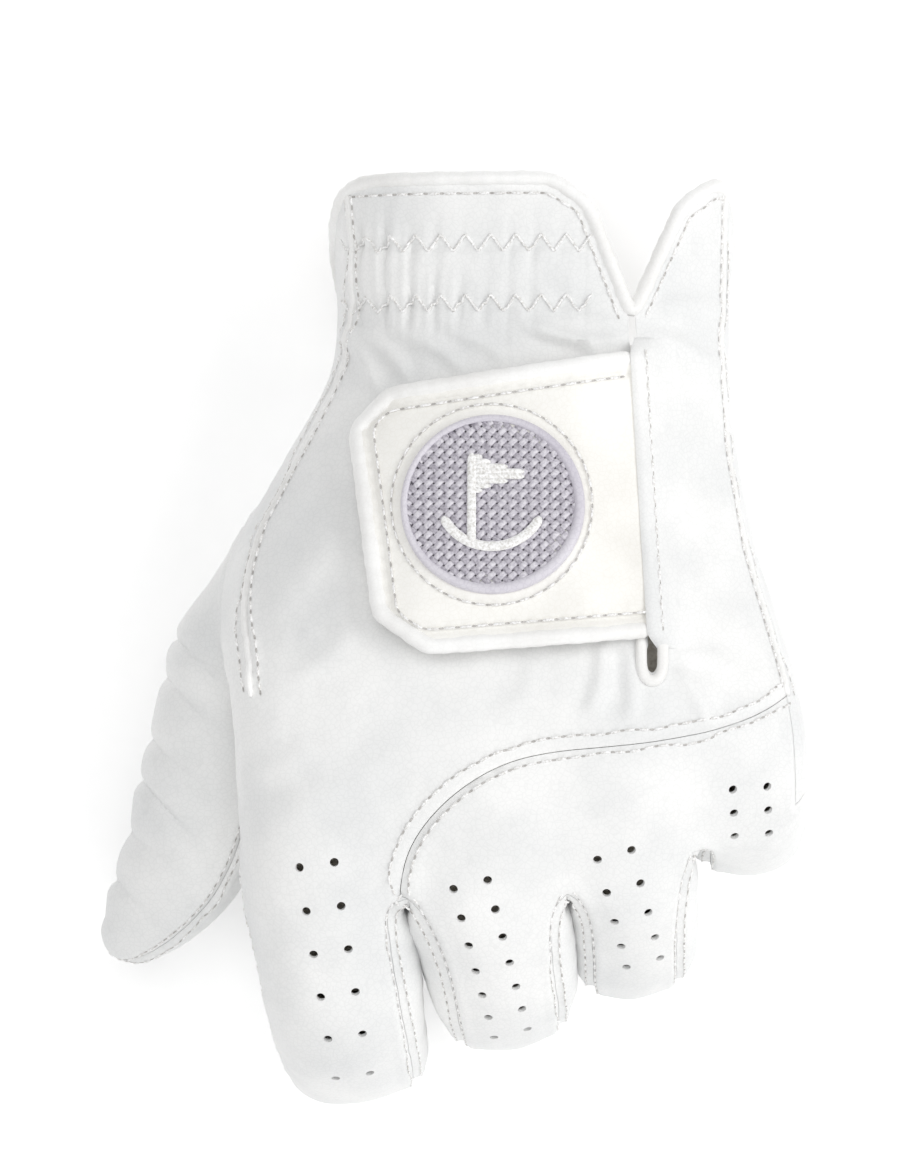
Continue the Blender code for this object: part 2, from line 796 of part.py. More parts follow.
def cuff_path(skin, normals, back):
    """Closed path of the rolled cuff edge, down and up the V notch."""
    points, polygons = skin[0], skin[1]
    moves, rim_edges = edge_pull(points, polygons, normals)
    rim = []
    for v, move in moves.items():
        rim.append(points[v] - normals[v] * (0.4 * MM) - move.normalized() * (1.45 * MM))
    low, high = V_LEFT[0] - 1.5, V_RIGHT[0] + 1.5
    keep = [p for p in rim if not (low * MM < p.x < high * MM and p.z > 30.0 * MM)]
    centre = average(rim)
    gap = math.atan2(20.0 * MM, 0.5 * (low + high) * MM - centre.x)
    keep.sort(key=lambda p: (math.atan2(p.z - centre.z, p.x - centre.x) - gap) % (2.0 * math.pi))
    return notch_path(back) + keep


def set_pivots(objects):
    """Moves the origin of every moving piece onto the axis of its joint."""
    for obj in objects:
        first = obj.name.split("_")[0]
        body = "tab" if first in ("tab", "hook", "badge") else first
        if body in PIVOTS and obj.name not in HAND_NODES:
            pivot = Vector(PIVOTS[body]) * MM
            obj.data.transform(Matrix.Translation(-pivot))
            obj.location = pivot


def main():
    clear_scene()
    glove, cutters = make_collections()
    cage = build_cage()
    skin = skin_mesh(cage, cutters)
    normals = vertex_normals(skin[0], skin[1])
    names = sorted(set(skin[2]))
    panels = {name: shell_panel(name, skin, normals, glove) for name in names}
    back = BackSurface(skin)
    cut(panels["back_panel"], slit_cutter(cutters))
    tab_layer("loop_pad", back, 5.5, (0.0, 0.62), LAYERS["loop_pad"], glove, "pad")
    tab_layer("hook_pad", back, 5.5, (0.0, 0.62), LAYERS["hook_pad"], glove, "pad")
    tab_layer("tab_lining", back, 3.1, (0.0, 1.0), LAYERS["tab_lining"], glove, "leather")
    tab_layer("tab_top", back, 3.1, (0.0, 1.0), LAYERS["tab_top"], glove, "leather")
    tab_binding(back, glove)
    edge_strip(back, glove)
    slit_end_binding(back, glove)
    elastic(back, glove)
    badge_disc(back, glove)
    badge_rim(back, glove)
    badge_motif(back, glove)
    for name, first, second in (
        ("thumb_piping", {"thumb_side_strip", "thumb_root_crease", "index_side_strip"}, {"back_panel"}),
        ("outseam_piping", {"palm_panel"}, {"back_panel"}),
    ):
        chain = seam_chain(skin, first, second)
        path = [skin[0][v] + normals[v] * (PIPING_R + 0.3 * MM) for v in chain]
        tube(name, path, PIPING_R, glove, "binding")
    tube("cuff_binding", cuff_path(skin, normals, back), BINDING_R, glove, "binding", True)
    set_pivots(glove.objects)


main()
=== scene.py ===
"""Left-hand golf glove: leather, sewing, closure tab and badge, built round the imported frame.

The glove lies palm down. +X is the little finger side, +Y the cuff and +Z the back of the hand.
Sizes are in millimetres in plan, as a glove maker would give them, and turned to metres once.
"""

from __future__ import annotations

import logging
import math
from dataclasses import dataclass, field
from enum import Enum
from typing import Callable, Iterable, Sequence

import bmesh
import bpy
import numpy as np
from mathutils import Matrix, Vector, noise
from mathutils.bvhtree import BVHTree
from mathutils.kdtree import KDTree


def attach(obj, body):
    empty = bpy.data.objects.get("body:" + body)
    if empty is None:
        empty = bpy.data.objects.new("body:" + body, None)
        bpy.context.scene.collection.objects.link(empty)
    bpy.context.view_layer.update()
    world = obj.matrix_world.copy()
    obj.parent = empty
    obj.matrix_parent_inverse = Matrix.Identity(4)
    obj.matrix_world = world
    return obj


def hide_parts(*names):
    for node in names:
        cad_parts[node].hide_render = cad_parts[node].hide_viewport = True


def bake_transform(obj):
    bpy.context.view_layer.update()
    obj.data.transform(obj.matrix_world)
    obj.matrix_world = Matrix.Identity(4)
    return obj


Piece = bpy.types.Object
Material = bpy.types.Material
NodeTree = bpy.types.NodeTree
Socket = bpy.types.NodeSocket
Pair = tuple[float, float]
Triple = tuple[float, float, float]
Face = tuple[int, ...]
# Places along a line, and the leather's normals there.
Line = tuple[np.ndarray, np.ndarray]

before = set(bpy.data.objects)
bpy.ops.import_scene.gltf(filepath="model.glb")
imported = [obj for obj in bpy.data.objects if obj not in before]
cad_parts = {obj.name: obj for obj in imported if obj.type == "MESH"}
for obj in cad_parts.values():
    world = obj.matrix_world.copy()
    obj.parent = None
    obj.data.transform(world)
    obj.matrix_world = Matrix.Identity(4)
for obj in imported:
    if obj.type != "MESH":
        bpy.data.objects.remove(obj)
LOG = logging.getLogger("golf_glove")
MM = 0.001
# Moves the form's plan, in millimetres, so that its box is centred as the frame's is.
CENTRE_SHIFT = Vector((0.06, -0.42, 0.0))
# Rays that look for the leather start at this height, in metres, and go down.
RAY_HEIGHT = 0.2
DOWN = Vector((0.0, 0.0, -1.0))
WHITE = (1.0, 1.0, 1.0, 1.0)


class Digit(Enum):
    """The five stalls of the glove, by the name of the body that each one rides on."""

    INDEX = "index"
    MIDDLE = "middle"
    RING = "ring"
    LITTLE = "little"
    THUMB = "thumb"


FINGERS = (Digit.INDEX, Digit.MIDDLE, Digit.RING, Digit.LITTLE)


class Cut(Enum):
    """Leather cuts that are one piece of hide over several panels, so no seam runs inside one."""

    BACK = ("back_panel", "index_back")
    KNUCKLE = ("knuckle_panel", "middle_back", "ring_back", "little_back")
    PALM = ("palm_panel", "index_front", "middle_front", "ring_front", "little_front")
    SIDE = ("thumb_side_strip", "index_side_strip")


CUT_OF_PANEL = {panel: cut.name for cut in Cut for panel in cut.value}


# ------------------------------------------------------------------ small tools


def srgb(hex_colour: str) -> tuple[float, float, float, float]:
    """Turns an sRGB hex colour into a linear RGBA value.

    Args:
        hex_colour: Six hex digits.

    Returns:
        Linear red, green, blue and an alpha of one.
    """
    channels = [int(hex_colour[n : n + 2], 16) / 255.0 for n in (0, 2, 4)]
    linear = [c / 12.92 if c <= 0.04045 else ((c + 0.055) / 1.055) ** 2.4 for c in channels]
    return (linear[0], linear[1], linear[2], 1.0)


def smoothstep(t: float) -> float:
    """Eases from 0 to 1."""
    t = min(1.0, max(0.0, t))
    return t * t * (3.0 - 2.0 * t)


def ease(t: np.ndarray) -> np.ndarray:
    """Eases an array from 0 to 1."""
    t = np.clip(t, 0.0, 1.0)
    return t * t * (3.0 - 2.0 * t)


def unit(v: np.ndarray) -> np.ndarray:
    """Scales rows of vectors to length one."""
    length = np.linalg.norm(v, axis=-1, keepdims=True)
    return v / np.maximum(length, 1e-12)


def distances(line: np.ndarray) -> np.ndarray:
    """Distance of each point of a polyline from its start."""
    steps = np.linalg.norm(np.diff(line, axis=0), axis=1)
    return np.concatenate([[0.0], np.cumsum(steps)])


def resample(points: np.ndarray, pitch: float, closed: bool = False) -> np.ndarray:
    """Spaces points evenly along a polyline.

    Args:
        points: Rows of positions.
        pitch: Wanted spacing.
        closed: Whether the line returns to its start.

    Returns:
        New rows of positions.
    """
    points = np.asarray(points, float)
    if closed:
        points = np.vstack([points, points[:1]])
    distance = distances(points)
    count = max(2, int(round(distance[-1] / pitch)))
    places = np.linspace(0.0, distance[-1], count + 1)
    if closed:
        places = places[:-1]
    return np.column_stack([np.interp(places, distance, points[:, k]) for k in range(3)])


def soften(points: np.ndarray, rounds: int, closed: bool = False) -> np.ndarray:
    """Averages neighbours along a line so that it runs smoothly."""
    points = np.array(points, float)
    for _ in range(rounds):
        before, after = np.roll(points, 1, axis=0), np.roll(points, -1, axis=0)
        fresh = 0.25 * before + 0.5 * points + 0.25 * after
        if not closed:
            fresh[0], fresh[-1] = points[0], points[-1]
        points = fresh
    return points


def smooth_line(points: Sequence, pitch: float, rounds: int, closed: bool = False) -> np.ndarray:
    """Spaces a line's points evenly, by a pitch in millimetres, and averages them."""
    return soften(resample(np.asarray(points), pitch * MM, closed), rounds, closed)


def add_object(name: str, data: bpy.types.ID | None) -> Piece:
    """Adds an object with its data to the scene."""
    obj = bpy.data.objects.new(name, data)
    bpy.context.scene.collection.objects.link(obj)
    return obj


def turns(count: int) -> np.ndarray:
    """Angles of points spread evenly round a circle."""
    return 2.0 * np.pi * np.arange(count) / count


def tube_faces(
    rings: int, sides: int, base: int = 0, closed: bool = False, inward: bool = False
) -> list[Face]:
    """Faces that join rings of points into a tube, capped unless it closes on itself.

    Args:
        rings: Number of rings.
        sides: Points in each ring.
        base: Number of the first point.
        closed: Whether the last ring joins the first.
        inward: Whether the points run the other way round.

    Returns:
        Vertex indices of each face.
    """
    faces: list[Face] = []
    for n in range(rings if closed else rings - 1):
        a, b = base + n * sides, base + (n + 1) % rings * sides
        for k in range(sides):
            j = (k + 1) % sides
            faces.append((a + k, b + k, b + j, a + j) if inward else (a + k, a + j, b + j, b + k))
    if not closed:
        first = tuple(range(base, base + sides))
        last = tuple(k + (rings - 1) * sides for k in first)
        faces += [first, last[::-1]] if inward else [first[::-1], last]
    return faces


def make_mesh(
    name: str, verts: np.ndarray, faces: Sequence[Sequence[int]], sharp: float = 55.0
) -> Piece:
    """Adds a smooth mesh object to the scene.

    Args:
        name: Name of the piece.
        verts: Rows of positions in metres.
        faces: Vertex indices of each face.
        sharp: Edges over this angle, in degrees, stay sharp.

    Returns:
        The new object.
    """
    mesh = bpy.data.meshes.new(name)
    mesh.from_pydata(np.asarray(verts, float).tolist(), [], [list(map(int, f)) for f in faces])
    mesh.validate()
    mesh.polygons.foreach_set("use_smooth", [True] * len(mesh.polygons))
    mesh.set_sharp_from_angle(angle=math.radians(sharp))
    return add_object(name, mesh)


# -------------------------------------------------------------------- materials


def add_node(
    tree: NodeTree, kind: str, settings: dict | None = None, links: dict | None = None
) -> bpy.types.Node:
    """Adds a shader node with its settings and incoming links.

    Args:
        tree: Node tree of the material.
        kind: Node type.
        settings: Attribute names, or input names and numbers, to values.
        links: Input names or numbers to output sockets.

    Returns:
        The new node.
    """
    node = tree.nodes.new(kind)
    for key, value in (settings or {}).items():
        if isinstance(key, str) and hasattr(node, key):
            setattr(node, key, value)
        else:
            node.inputs[key].default_value = value
    for key, socket in (links or {}).items():
        tree.links.new(socket, node.inputs[key])
    return node


def ramp(tree: NodeTree, source: Socket, stops: Sequence[tuple[float, tuple]]) -> Socket:
    """Adds a colour ramp fed by a socket and returns its colour output."""
    node = add_node(tree, "ShaderNodeValToRGB", links={0: source})
    band = node.color_ramp
    while len(band.elements) < len(stops):
        band.elements.new(0.5)
    for element, (place, colour) in zip(band.elements, stops):
        element.position = place
        element.color = colour
    return node.outputs["Color"]


def start_material(name: str) -> tuple:
    """Starts a material and returns it with its node tree, shader and object coordinates."""
    mat = bpy.data.materials.new(name)
    mat.use_nodes = True
    tree = mat.node_tree
    place = add_node(tree, "ShaderNodeTexCoord").outputs["Object"]
    return mat, tree, tree.nodes["Principled BSDF"], place


def per_metre(size_mm: float) -> float:
    """Texture scale whose features are a number of millimetres across."""
    return 1.0 / (size_mm * MM)


@dataclass(frozen=True)
class Leather:
    """Thin white glove leather, split, tanned and pigmented: a fine grain over soft creases.

    The grain is drawn a little coarser than real pores, which are under 0.2 mm, so that it shows.
    """

    name: str
    light: str = "F5F5F4"
    deep: str = "E6E7E7"
    roughness: float = 0.5
    pore_mm: float = 0.88
    fibre_mm: float = 0.714
    crease_mm: float = 4.76
    tone_mm: float = 18.18
    grain_depth: float = 0.06
    crease_depth: float = 0.22
    pore_shade: float = 0.25
    relief_mm: float = 0.2
    crease_relief_mm: float = 0.7

    def _relief(
        self,
        tree: NodeTree,
        strength: float,
        depth_mm: float,
        height: Socket,
        below: Socket | None = None,
    ) -> Socket:
        """Adds one layer of relief over the one below and returns its normal."""
        links = {"Height": height, "Normal": below} if below else {"Height": height}
        settings = {"Strength": strength, "Distance": depth_mm * MM}
        return add_node(tree, "ShaderNodeBump", settings, links).outputs["Normal"]

    def build(self) -> Material:
        """Makes the material.

        Returns:
            The finished leather.
        """
        mat, tree, shader, place = start_material(self.name)

        def patches(size_mm: float, **settings: float) -> Socket:
            """Cloudy variation of a feature size."""
            kind = {"Scale": per_metre(size_mm), **settings}
            return add_node(tree, "ShaderNodeTexNoise", kind, {"Vector": place}).outputs["Fac"]

        tone = patches(self.tone_mm, Detail=4.0)
        cells = {"feature": "DISTANCE_TO_EDGE", "Scale": per_metre(self.pore_mm)}
        pore = add_node(tree, "ShaderNodeTexVoronoi", cells, {"Vector": place}).outputs["Distance"]
        fibre = patches(self.fibre_mm, Detail=3.0)
        crease = patches(self.crease_mm, Detail=5.0, Roughness=0.62)
        base = ramp(tree, tone, ((0.3, srgb(self.deep)), (0.62, srgb(self.light))))
        pits = ramp(tree, pore, ((0.0, srgb(self.deep)), (0.12, WHITE)))
        blend = {"data_type": "RGBA", "blend_type": "MULTIPLY", 0: self.pore_shade}
        mixed = add_node(tree, "ShaderNodeMix", blend, {6: base, 7: pits})
        tree.links.new(mixed.outputs[2], shader.inputs["Base Color"])
        shine = {"To Min": self.roughness - 0.07, "To Max": self.roughness + 0.1}
        gloss = add_node(tree, "ShaderNodeMapRange", shine, {"Value": crease})
        tree.links.new(gloss.outputs["Result"], shader.inputs["Roughness"])
        normal = self._relief(tree, self.crease_depth, self.crease_relief_mm, crease)
        normal = self._relief(tree, 2.0 * self.grain_depth, self.relief_mm, pore, normal)
        normal = self._relief(tree, self.grain_depth, self.relief_mm, fibre, normal)
        tree.links.new(normal, shader.inputs["Normal"])
        shader.inputs["Sheen Weight"].default_value = 0.12
        shader.inputs["Sheen Roughness"].default_value = 0.5
        shader.inputs["Specular IOR Level"].default_value = 0.4
        return mat


@dataclass(frozen=True)
class Fibre:
    """Thread, elastic, nap or tape: fibres of a width in millimetres with a dull surface."""

    name: str
    light: str
    deep: str
    fibre_mm: float
    stretch: Triple = (1.0, 1.0, 1.0)
    depth: float = 0.5
    roughness: float = 0.75

    def build(self) -> Material:
        """Makes the material.

        Returns:
            The finished fibre.
        """
        mat, tree, shader, place = start_material(self.name)
        turned = add_node(tree, "ShaderNodeMapping", {"Scale": self.stretch}, {"Vector": place})
        size = {"Scale": per_metre(self.fibre_mm), "Detail": 4.0}
        along = {"Vector": turned.outputs["Vector"]}
        grain = add_node(tree, "ShaderNodeTexNoise", size, along).outputs["Fac"]
        colour = ramp(tree, grain, ((0.35, srgb(self.deep)), (0.6, srgb(self.light))))
        tree.links.new(colour, shader.inputs["Base Color"])
        relief = {"Strength": self.depth, "Distance": 0.2 * MM}
        bump = add_node(tree, "ShaderNodeBump", relief, {"Height": grain})
        tree.links.new(bump.outputs["Normal"], shader.inputs["Normal"])
        shader.inputs["Roughness"].default_value = self.roughness
        shader.inputs["Sheen Weight"].default_value = 0.2
        return mat


class Finishes:
    """Every finish of the glove, built once."""

    def __init__(self) -> None:
        # Cabretta sheepskin, pigmented white: soft light with a faint grain in the half shadows.
        self.leather = Leather("glove_leather").build()
        # Flesh side of the same hide, sueded: a warm, dull nap.
        self.suede = Fibre(
            "flesh_side", "E9E6E0", "D3CFC7", 0.625, depth=0.3, roughness=0.9
        ).build()
        # Coated tab leather: smoother and a little warmer than the rest.
        self.tab = Leather(
            "tab_leather", light="FBFAF6", deep="EFEDE8", roughness=0.45, crease_depth=0.12
        ).build()
        # Edge leather, skived and rolled: tight, so it gives the clearest highlight.
        self.edging = Leather(
            "edging_leather",
            light="FBFBFA",
            deep="EFEEEC",
            roughness=0.38,
            grain_depth=0.03,
            crease_depth=0.1,
        ).build()
        # Bonded polyester thread: bright, with a twist too fine to see that is drawn at 0.4 mm.
        self.thread = Fibre(
            "sewing_thread", "FFFFFF", "DAD8D4", 0.4, depth=0.4, roughness=0.55
        ).build()
        # Leather pulled down by the needle: grey painted shade, a small soft shadow between
        # stitches.
        self.needle_hole_shade = Fibre("needle_hole_shade", "CAC7C4", "AAA7A4", 0.4, depth=0.1).build()
        # Woven elastic: ribs that run across the wrist.
        self.elastic = Fibre(
            "wrist_elastic_weave", "EFEDE8", "C9C6C0", 1.4286, (1.0, 6.0, 1.0)
        ).build()
        # Knitted loop tape: a deep matt nap.
        self.loops = Fibre(
            "loop_nap", "F1EFEA", "DAD7D0", 0.26316, depth=0.9, roughness=0.95
        ).build()
        # Moulded hook tape: the same tone, with small hard glints.
        self.hooks = Fibre(
            "hook_tape", "EDECE8", "D2D0CB", 0.3125, depth=0.9, roughness=0.5
        ).build()
        # Flat polyester yarns in two tones: the badge's grey and lilac shimmer.
        self.weave_light = Fibre(
            "badge_yarn_light", "E2DFE5", "C2BEC8", 0.45455, depth=0.4, roughness=0.45
        ).build()
        self.weave_dark = Fibre(
            "badge_yarn_dark", "C4C0C9", "96919C", 0.45455, depth=0.4, roughness=0.45
        ).build()
        # Soft moulded edge of the badge: pale lavender with an even highlight.
        self.rim = Leather(
            "badge_rim_finish",
            light="DEDBE2",
            deep="CCC8D2",
            roughness=0.35,
            grain_depth=0.02,
            crease_depth=0.05,
        ).build()
        # Cloth behind the yarns: dark, painted shade so that the gaps between them read as depth.
        self.backing = Fibre("badge_backing_cloth", "7B7680", "4A464F", 0.55556).build()


# ------------------------------------------------------------------- skin cage


@dataclass(frozen=True)
class Ring:
    """One cross-section of the hand: plan places and heights, in millimetres."""

    y_back: float
    y_palm: float
    x_thumb: float
    x_little: float
    z_back: float
    z_palm_thumb: float
    z_palm_little: float


@dataclass(frozen=True)
class FingerShape:
    """A curled finger: root, heading, slopes at its three bones, sizes along it."""

    root: Triple
    yaw: float
    slopes: Triple
    bends: Pair
    length: float
    widths: Triple
    depths: Triple

    def size(self, s: float) -> Pair:
        """Width and depth at a distance along the finger."""
        t = s / self.length
        first = 0 if t < 0.5 else 1
        f = (t - 0.5 * first) / 0.5
        width = self.widths[first] + (self.widths[first + 1] - self.widths[first]) * f
        depth = self.depths[first] + (self.depths[first + 1] - self.depths[first]) * f
        return width, depth


@dataclass
class HandForm:
    """The whole hand as a subdivision cage, the same one that the frame was cut from."""

    rings: tuple[Ring, ...] = (
        Ring(75.5, 49.0, -20.6, 48.2, 47.0, 5.0, 5.0),
        Ring(64.0, 43.0, -19.8, 47.6, 46.5, 1.5, 1.5),
        Ring(50.0, 36.0, -19.8, 47.2, 47.0, -1.2, -1.2),
        Ring(37.5, 28.0, -25.5, 48.0, 49.0, -1.6, -1.6),
        Ring(24.0, 19.0, -33.5, 50.0, 51.5, -1.2, -1.0),
        Ring(10.0, 7.0, -39.5, 53.5, 55.0, 3.5, 1.0),
        Ring(-4.0, -3.0, -37.8, 57.6, 58.5, 32.0, 9.0),
        Ring(-18.0, -16.0, -36.2, 59.6, 59.5, 34.0, 19.0),
    )
    seam_drop: tuple[float, ...] = (0.0, 0.0, 0.0, -9.5, -2.5, 0.0, 1.5, 3.0, 6.0, 10.0)
    back_fractions: tuple[float, ...] = (0.045, 0.15, 0.29, 0.43, 0.57, 0.68, 0.785, 0.89, 0.965)
    section_power: float = 2.5
    # Each finger: root, heading, slopes, places of its two bends, length, widths and depths.
    finger_sizes: tuple[tuple, ...] = (
        ((-21.2, -36.0, 45.5), 9.5, (18, 66, 98), (26, 45), 63, (25, 24.4, 22), (23, 20, 16.5)),
        ((5.6, -38.5, 46.0), 10.0, (34, 79, 124), (21.5, 38), 56, (24.5, 21.5, 19.5), (23, 19, 16)),
        ((29.0, -34.5, 43.5), 4.5, (40, 82, 135), (19, 34), 51, (18.8, 18.6, 17.2), (22, 18, 15)),
        ((49.2, -22.5, 40.0), 2.0, (54, 86, 132), (12, 26), 39, (18.6, 17.4, 16), (20, 17, 14.5)),
    )
    thumb: tuple[tuple[tuple, tuple, float, float], ...] = (
        ((-38.4, -1.0, 17.5), (-0.50, -0.86, -0.08), 18.5, 22.5),
        ((-38.8, -8.5, 17.5), (-0.22, -0.96, -0.10), 19.5, 21.5),
        ((-40.0, -17.0, 17.0), (-0.15, -0.97, -0.12), 20.5, 21.5),
        ((-41.5, -26.0, 15.5), (-0.22, -0.95, -0.18), 22.0, 20.5),
        ((-44.0, -34.5, 13.8), (-0.42, -0.88, -0.22), 22.5, 19.5),
        ((-48.0, -42.0, 12.0), (-0.62, -0.76, -0.22), 19.0, 17.5),
        ((-52.8, -47.8, 10.5), (-0.68, -0.72, -0.20), 14.0, 14.5),
        ((-56.3, -52.3, 9.3), (-0.68, -0.72, -0.20), 7.0, 8.5),
    )
    loop_pitch: float = 6.5
    thumb_pitch: float = 7.0
    crease: float = 7.0
    web_drop: float = 5.0
    bend_blend: float = 13.0
    fingers: dict[Digit, FingerShape] = field(init=False)
    verts: list[Vector] = field(default_factory=list)
    along: list[float] = field(default_factory=list)
    faces: list[tuple[int, int, int, int]] = field(default_factory=list)
    tags: list[str] = field(default_factory=list)

    def __post_init__(self) -> None:
        """Names the shape of each finger."""
        self.fingers = {d: FingerShape(*row) for d, row in zip(FINGERS, self.finger_sizes)}

    def point(self, p: Vector, s: float = 0.0) -> int:
        """Adds a cage point with its distance along a digit and returns its number."""
        self.verts.append(Vector(p))
        self.along.append(s)
        return len(self.verts) - 1

    def quad(self, corners: tuple[int, int, int, int], tag: str) -> None:
        """Adds a cage face that belongs to a named panel."""
        self.faces.append(corners)
        self.tags.append(tag)

    def ring_point(self, ring: Ring, index: int) -> Vector:
        """A point of a hand ring: 0 thumb side, 1-9 back, 10 little side, 11-19 palm."""
        side = index in (0, 10)
        if side:
            fraction = 0.0 if index == 0 else 1.0
        else:
            fraction = self.back_fractions[index - 1 if index < 10 else 19 - index]
        z_palm = ring.z_palm_thumb + (ring.z_palm_little - ring.z_palm_thumb) * fraction
        u = abs(2.0 * fraction - 1.0)
        rise = 0.0 if side else (1.0 - u**self.section_power) ** (1.0 / self.section_power)
        up = 1.0 if index < 10 else -1.0
        z = 0.5 * (ring.z_back + z_palm) + up * rise * 0.5 * (ring.z_back - z_palm)
        depth = smoothstep(((ring.z_back - z) / (ring.z_back - z_palm) - 0.25) / 0.7)
        y = ring.y_back + (ring.y_palm - ring.y_back) * depth
        return Vector((ring.x_thumb + (ring.x_little - ring.x_thumb) * fraction, y, z))

    @staticmethod
    def loop_points(
        centre: Vector, heading: Vector, width: float, depth: float, up_hint: Vector
    ) -> list[Vector]:
        """Eight points round a digit, outer side first, then over its back."""
        heading = heading.normalized()
        up = (up_hint - heading * up_hint.dot(heading)).normalized()
        side = heading.cross(up).normalized()
        # The surface lies inside its cage, so the cage is grown; k places the diagonal points.
        grow, k = 1.108, 0.78
        a, b = side * (0.5 * width * grow), up * (0.5 * depth * grow)
        around = ((1, 0), (k, k), (0, 1), (-k, k), (-1, 0), (-k, -k), (0, -1), (k, -k))
        return [centre + a * i + b * j for i, j in around]

    def path(self, shape: FingerShape) -> list[tuple[float, Vector, Vector, Vector]]:
        """Samples a finger's centre line as distance, place, heading and up."""
        yaw = math.radians(shape.yaw)
        plan = Vector((math.sin(yaw), -math.cos(yaw), 0.0))
        place, out, s, step = Vector(shape.root), [], 0.0, 0.5
        while s <= shape.length + 1e-6:
            first = smoothstep((s - shape.bends[0]) / self.bend_blend + 0.5)
            second = smoothstep((s - shape.bends[1]) / self.bend_blend + 0.5)
            slope = shape.slopes[0] + (shape.slopes[1] - shape.slopes[0]) * first
            slope = math.radians(slope + (shape.slopes[2] - shape.slopes[1]) * second)
            heading = plan * math.cos(slope) - Vector((0.0, 0.0, math.sin(slope)))
            up = plan * math.sin(slope) + Vector((0.0, 0.0, math.cos(slope)))
            out.append((s, place.copy(), heading, up))
            place = place + heading * step
            s += step
        return out

    def finger_loops(self, shape: FingerShape) -> list[tuple[float, list[Vector]]]:
        """Cage loops of a finger with their distances, the root loop first."""
        samples = self.path(shape)
        body = shape.length - self.crease - 6.5
        count = max(3, round(body / self.loop_pitch))
        places = [0.0, self.crease] + [self.crease + body * (n + 1) / count for n in range(count)]
        places += [shape.length - 2.2, shape.length]
        loops = []
        for s in places:
            _, place, heading, up = samples[min(len(samples) - 1, int(round(s / 0.5)))]
            width, depth = shape.size(s)
            shrink = 0.46 if s > shape.length - 0.5 else 0.84 if s > shape.length - 2.5 else 1.0
            loops.append((s, self.loop_points(place, heading, width * shrink, depth * shrink, up)))
        return loops

    def add_stall(
        self, digit: Digit, base: list[int], loops: list[tuple[float, list[Vector]]]
    ) -> None:
        """Joins the loops of one digit to its base loop and closes the tip."""
        panels = STALL_PANELS[digit]
        previous = base
        for s, loop in loops:
            current = [self.point(p, s) for p in loop]
            for n in range(8):
                m = (n + 1) % 8
                corners = (previous[n], current[n], current[m], previous[m])
                self.quad(corners, f"{digit.value}_{panels[n]}")
            previous = current
        p = previous
        self.quad((p[3], p[2], p[1], p[0]), f"{digit.value}_back")
        self.quad((p[7], p[4], p[3], p[0]), f"{digit.value}_front")
        self.quad((p[7], p[6], p[5], p[4]), f"{digit.value}_front")

    def knuckle_ring(self, roots: dict[Digit, list[Vector]]) -> tuple[list[int], list[int]]:
        """Ring at the finger roots and the three webs between them."""
        ring: list[int] = [0] * 20
        index, little = roots[Digit.INDEX], roots[Digit.LITTLE]
        ring[0], ring[1], ring[19] = (self.point(index[n]) for n in (0, 1, 7))
        ring[10], ring[9], ring[11] = (self.point(little[n]) for n in (4, 3, 5))
        for k, digit in enumerate(FINGERS):
            ring[2 + 2 * k] = self.point(roots[digit][2])
            ring[18 - 2 * k] = self.point(roots[digit][6])
        webs = []
        for k in range(3):
            here, there = roots[FINGERS[k]], roots[FINGERS[k + 1]]
            ring[3 + 2 * k] = self.point((here[3] + there[1]) * 0.5)
            ring[17 - 2 * k] = self.point((here[5] + there[7]) * 0.5)
            drop = Vector((0.0, -self.web_drop, -1.0))
            webs.append(self.point((here[4] + there[0]) * 0.5 + drop))
        return ring, webs

    @staticmethod
    def hand_panel(ring: int, column: int) -> str:
        """Panel of a hand face between a ring and the next."""
        if column in (0, 19):
            return "thumb_side_strip" if ring < 6 else "index_side_strip"
        if 3 <= column <= 8 and ring == 7:
            return "knuckle_panel"
        return "back_panel" if 1 <= column <= 8 else "palm_panel"

    def build(self) -> None:
        """Fills the cage: hand, fingers and thumb."""
        rings = []
        for j, ring in enumerate(self.rings):
            row = [self.ring_point(ring, i) for i in range(20)]
            if j == len(self.rings) - 1:
                for i in range(1, 10):
                    row[i].y += self.seam_drop[i]
            rings.append([self.point(p) for p in row])
        stalls = {digit: self.finger_loops(self.fingers[digit]) for digit in FINGERS}
        last, webs = self.knuckle_ring({digit: loops[0][1] for digit, loops in stalls.items()})
        rings.append(last)
        for j in range(len(rings) - 1):
            for i in range(20):
                if j in (4, 5) and i in (18, 19):
                    continue
                k = (i + 1) % 20
                corners = (rings[j][i], rings[j + 1][i], rings[j + 1][k], rings[j][k])
                self.quad(corners, self.hand_panel(j, i))
        for k, digit in enumerate(FINGERS):
            left = last[0] if k == 0 else webs[k - 1]
            right = last[10] if k == 3 else webs[k]
            back = [last[1 + 2 * k], last[2 + 2 * k], last[3 + 2 * k]]
            front = [last[17 - 2 * k], last[18 - 2 * k], last[19 - 2 * k]]
            self.add_stall(digit, [left] + back + [right] + front, stalls[digit][1:])
        r4, r5, r6 = rings[4], rings[5], rings[6]
        base = [r4[19], r4[0], r5[0], r6[0], r6[19], r6[18], r5[18], r4[18]]
        up = Vector((0.0, 0.0, 1.0))
        loops = []
        for n, (centre, heading, width, depth) in enumerate(self.thumb):
            loop = self.loop_points(Vector(centre), Vector(heading), width, depth, up)
            loops.append((self.thumb_pitch * (n + 1), loop))
        self.add_stall(Digit.THUMB, base, loops)


def stall_panels(first: str, fourth: str, fifth: str, last: str) -> tuple[str, ...]:
    """Panels round a stall from its outer side over the back, where only four places differ."""
    return (first, "back", "back", fourth, fifth, "front", "front", last)


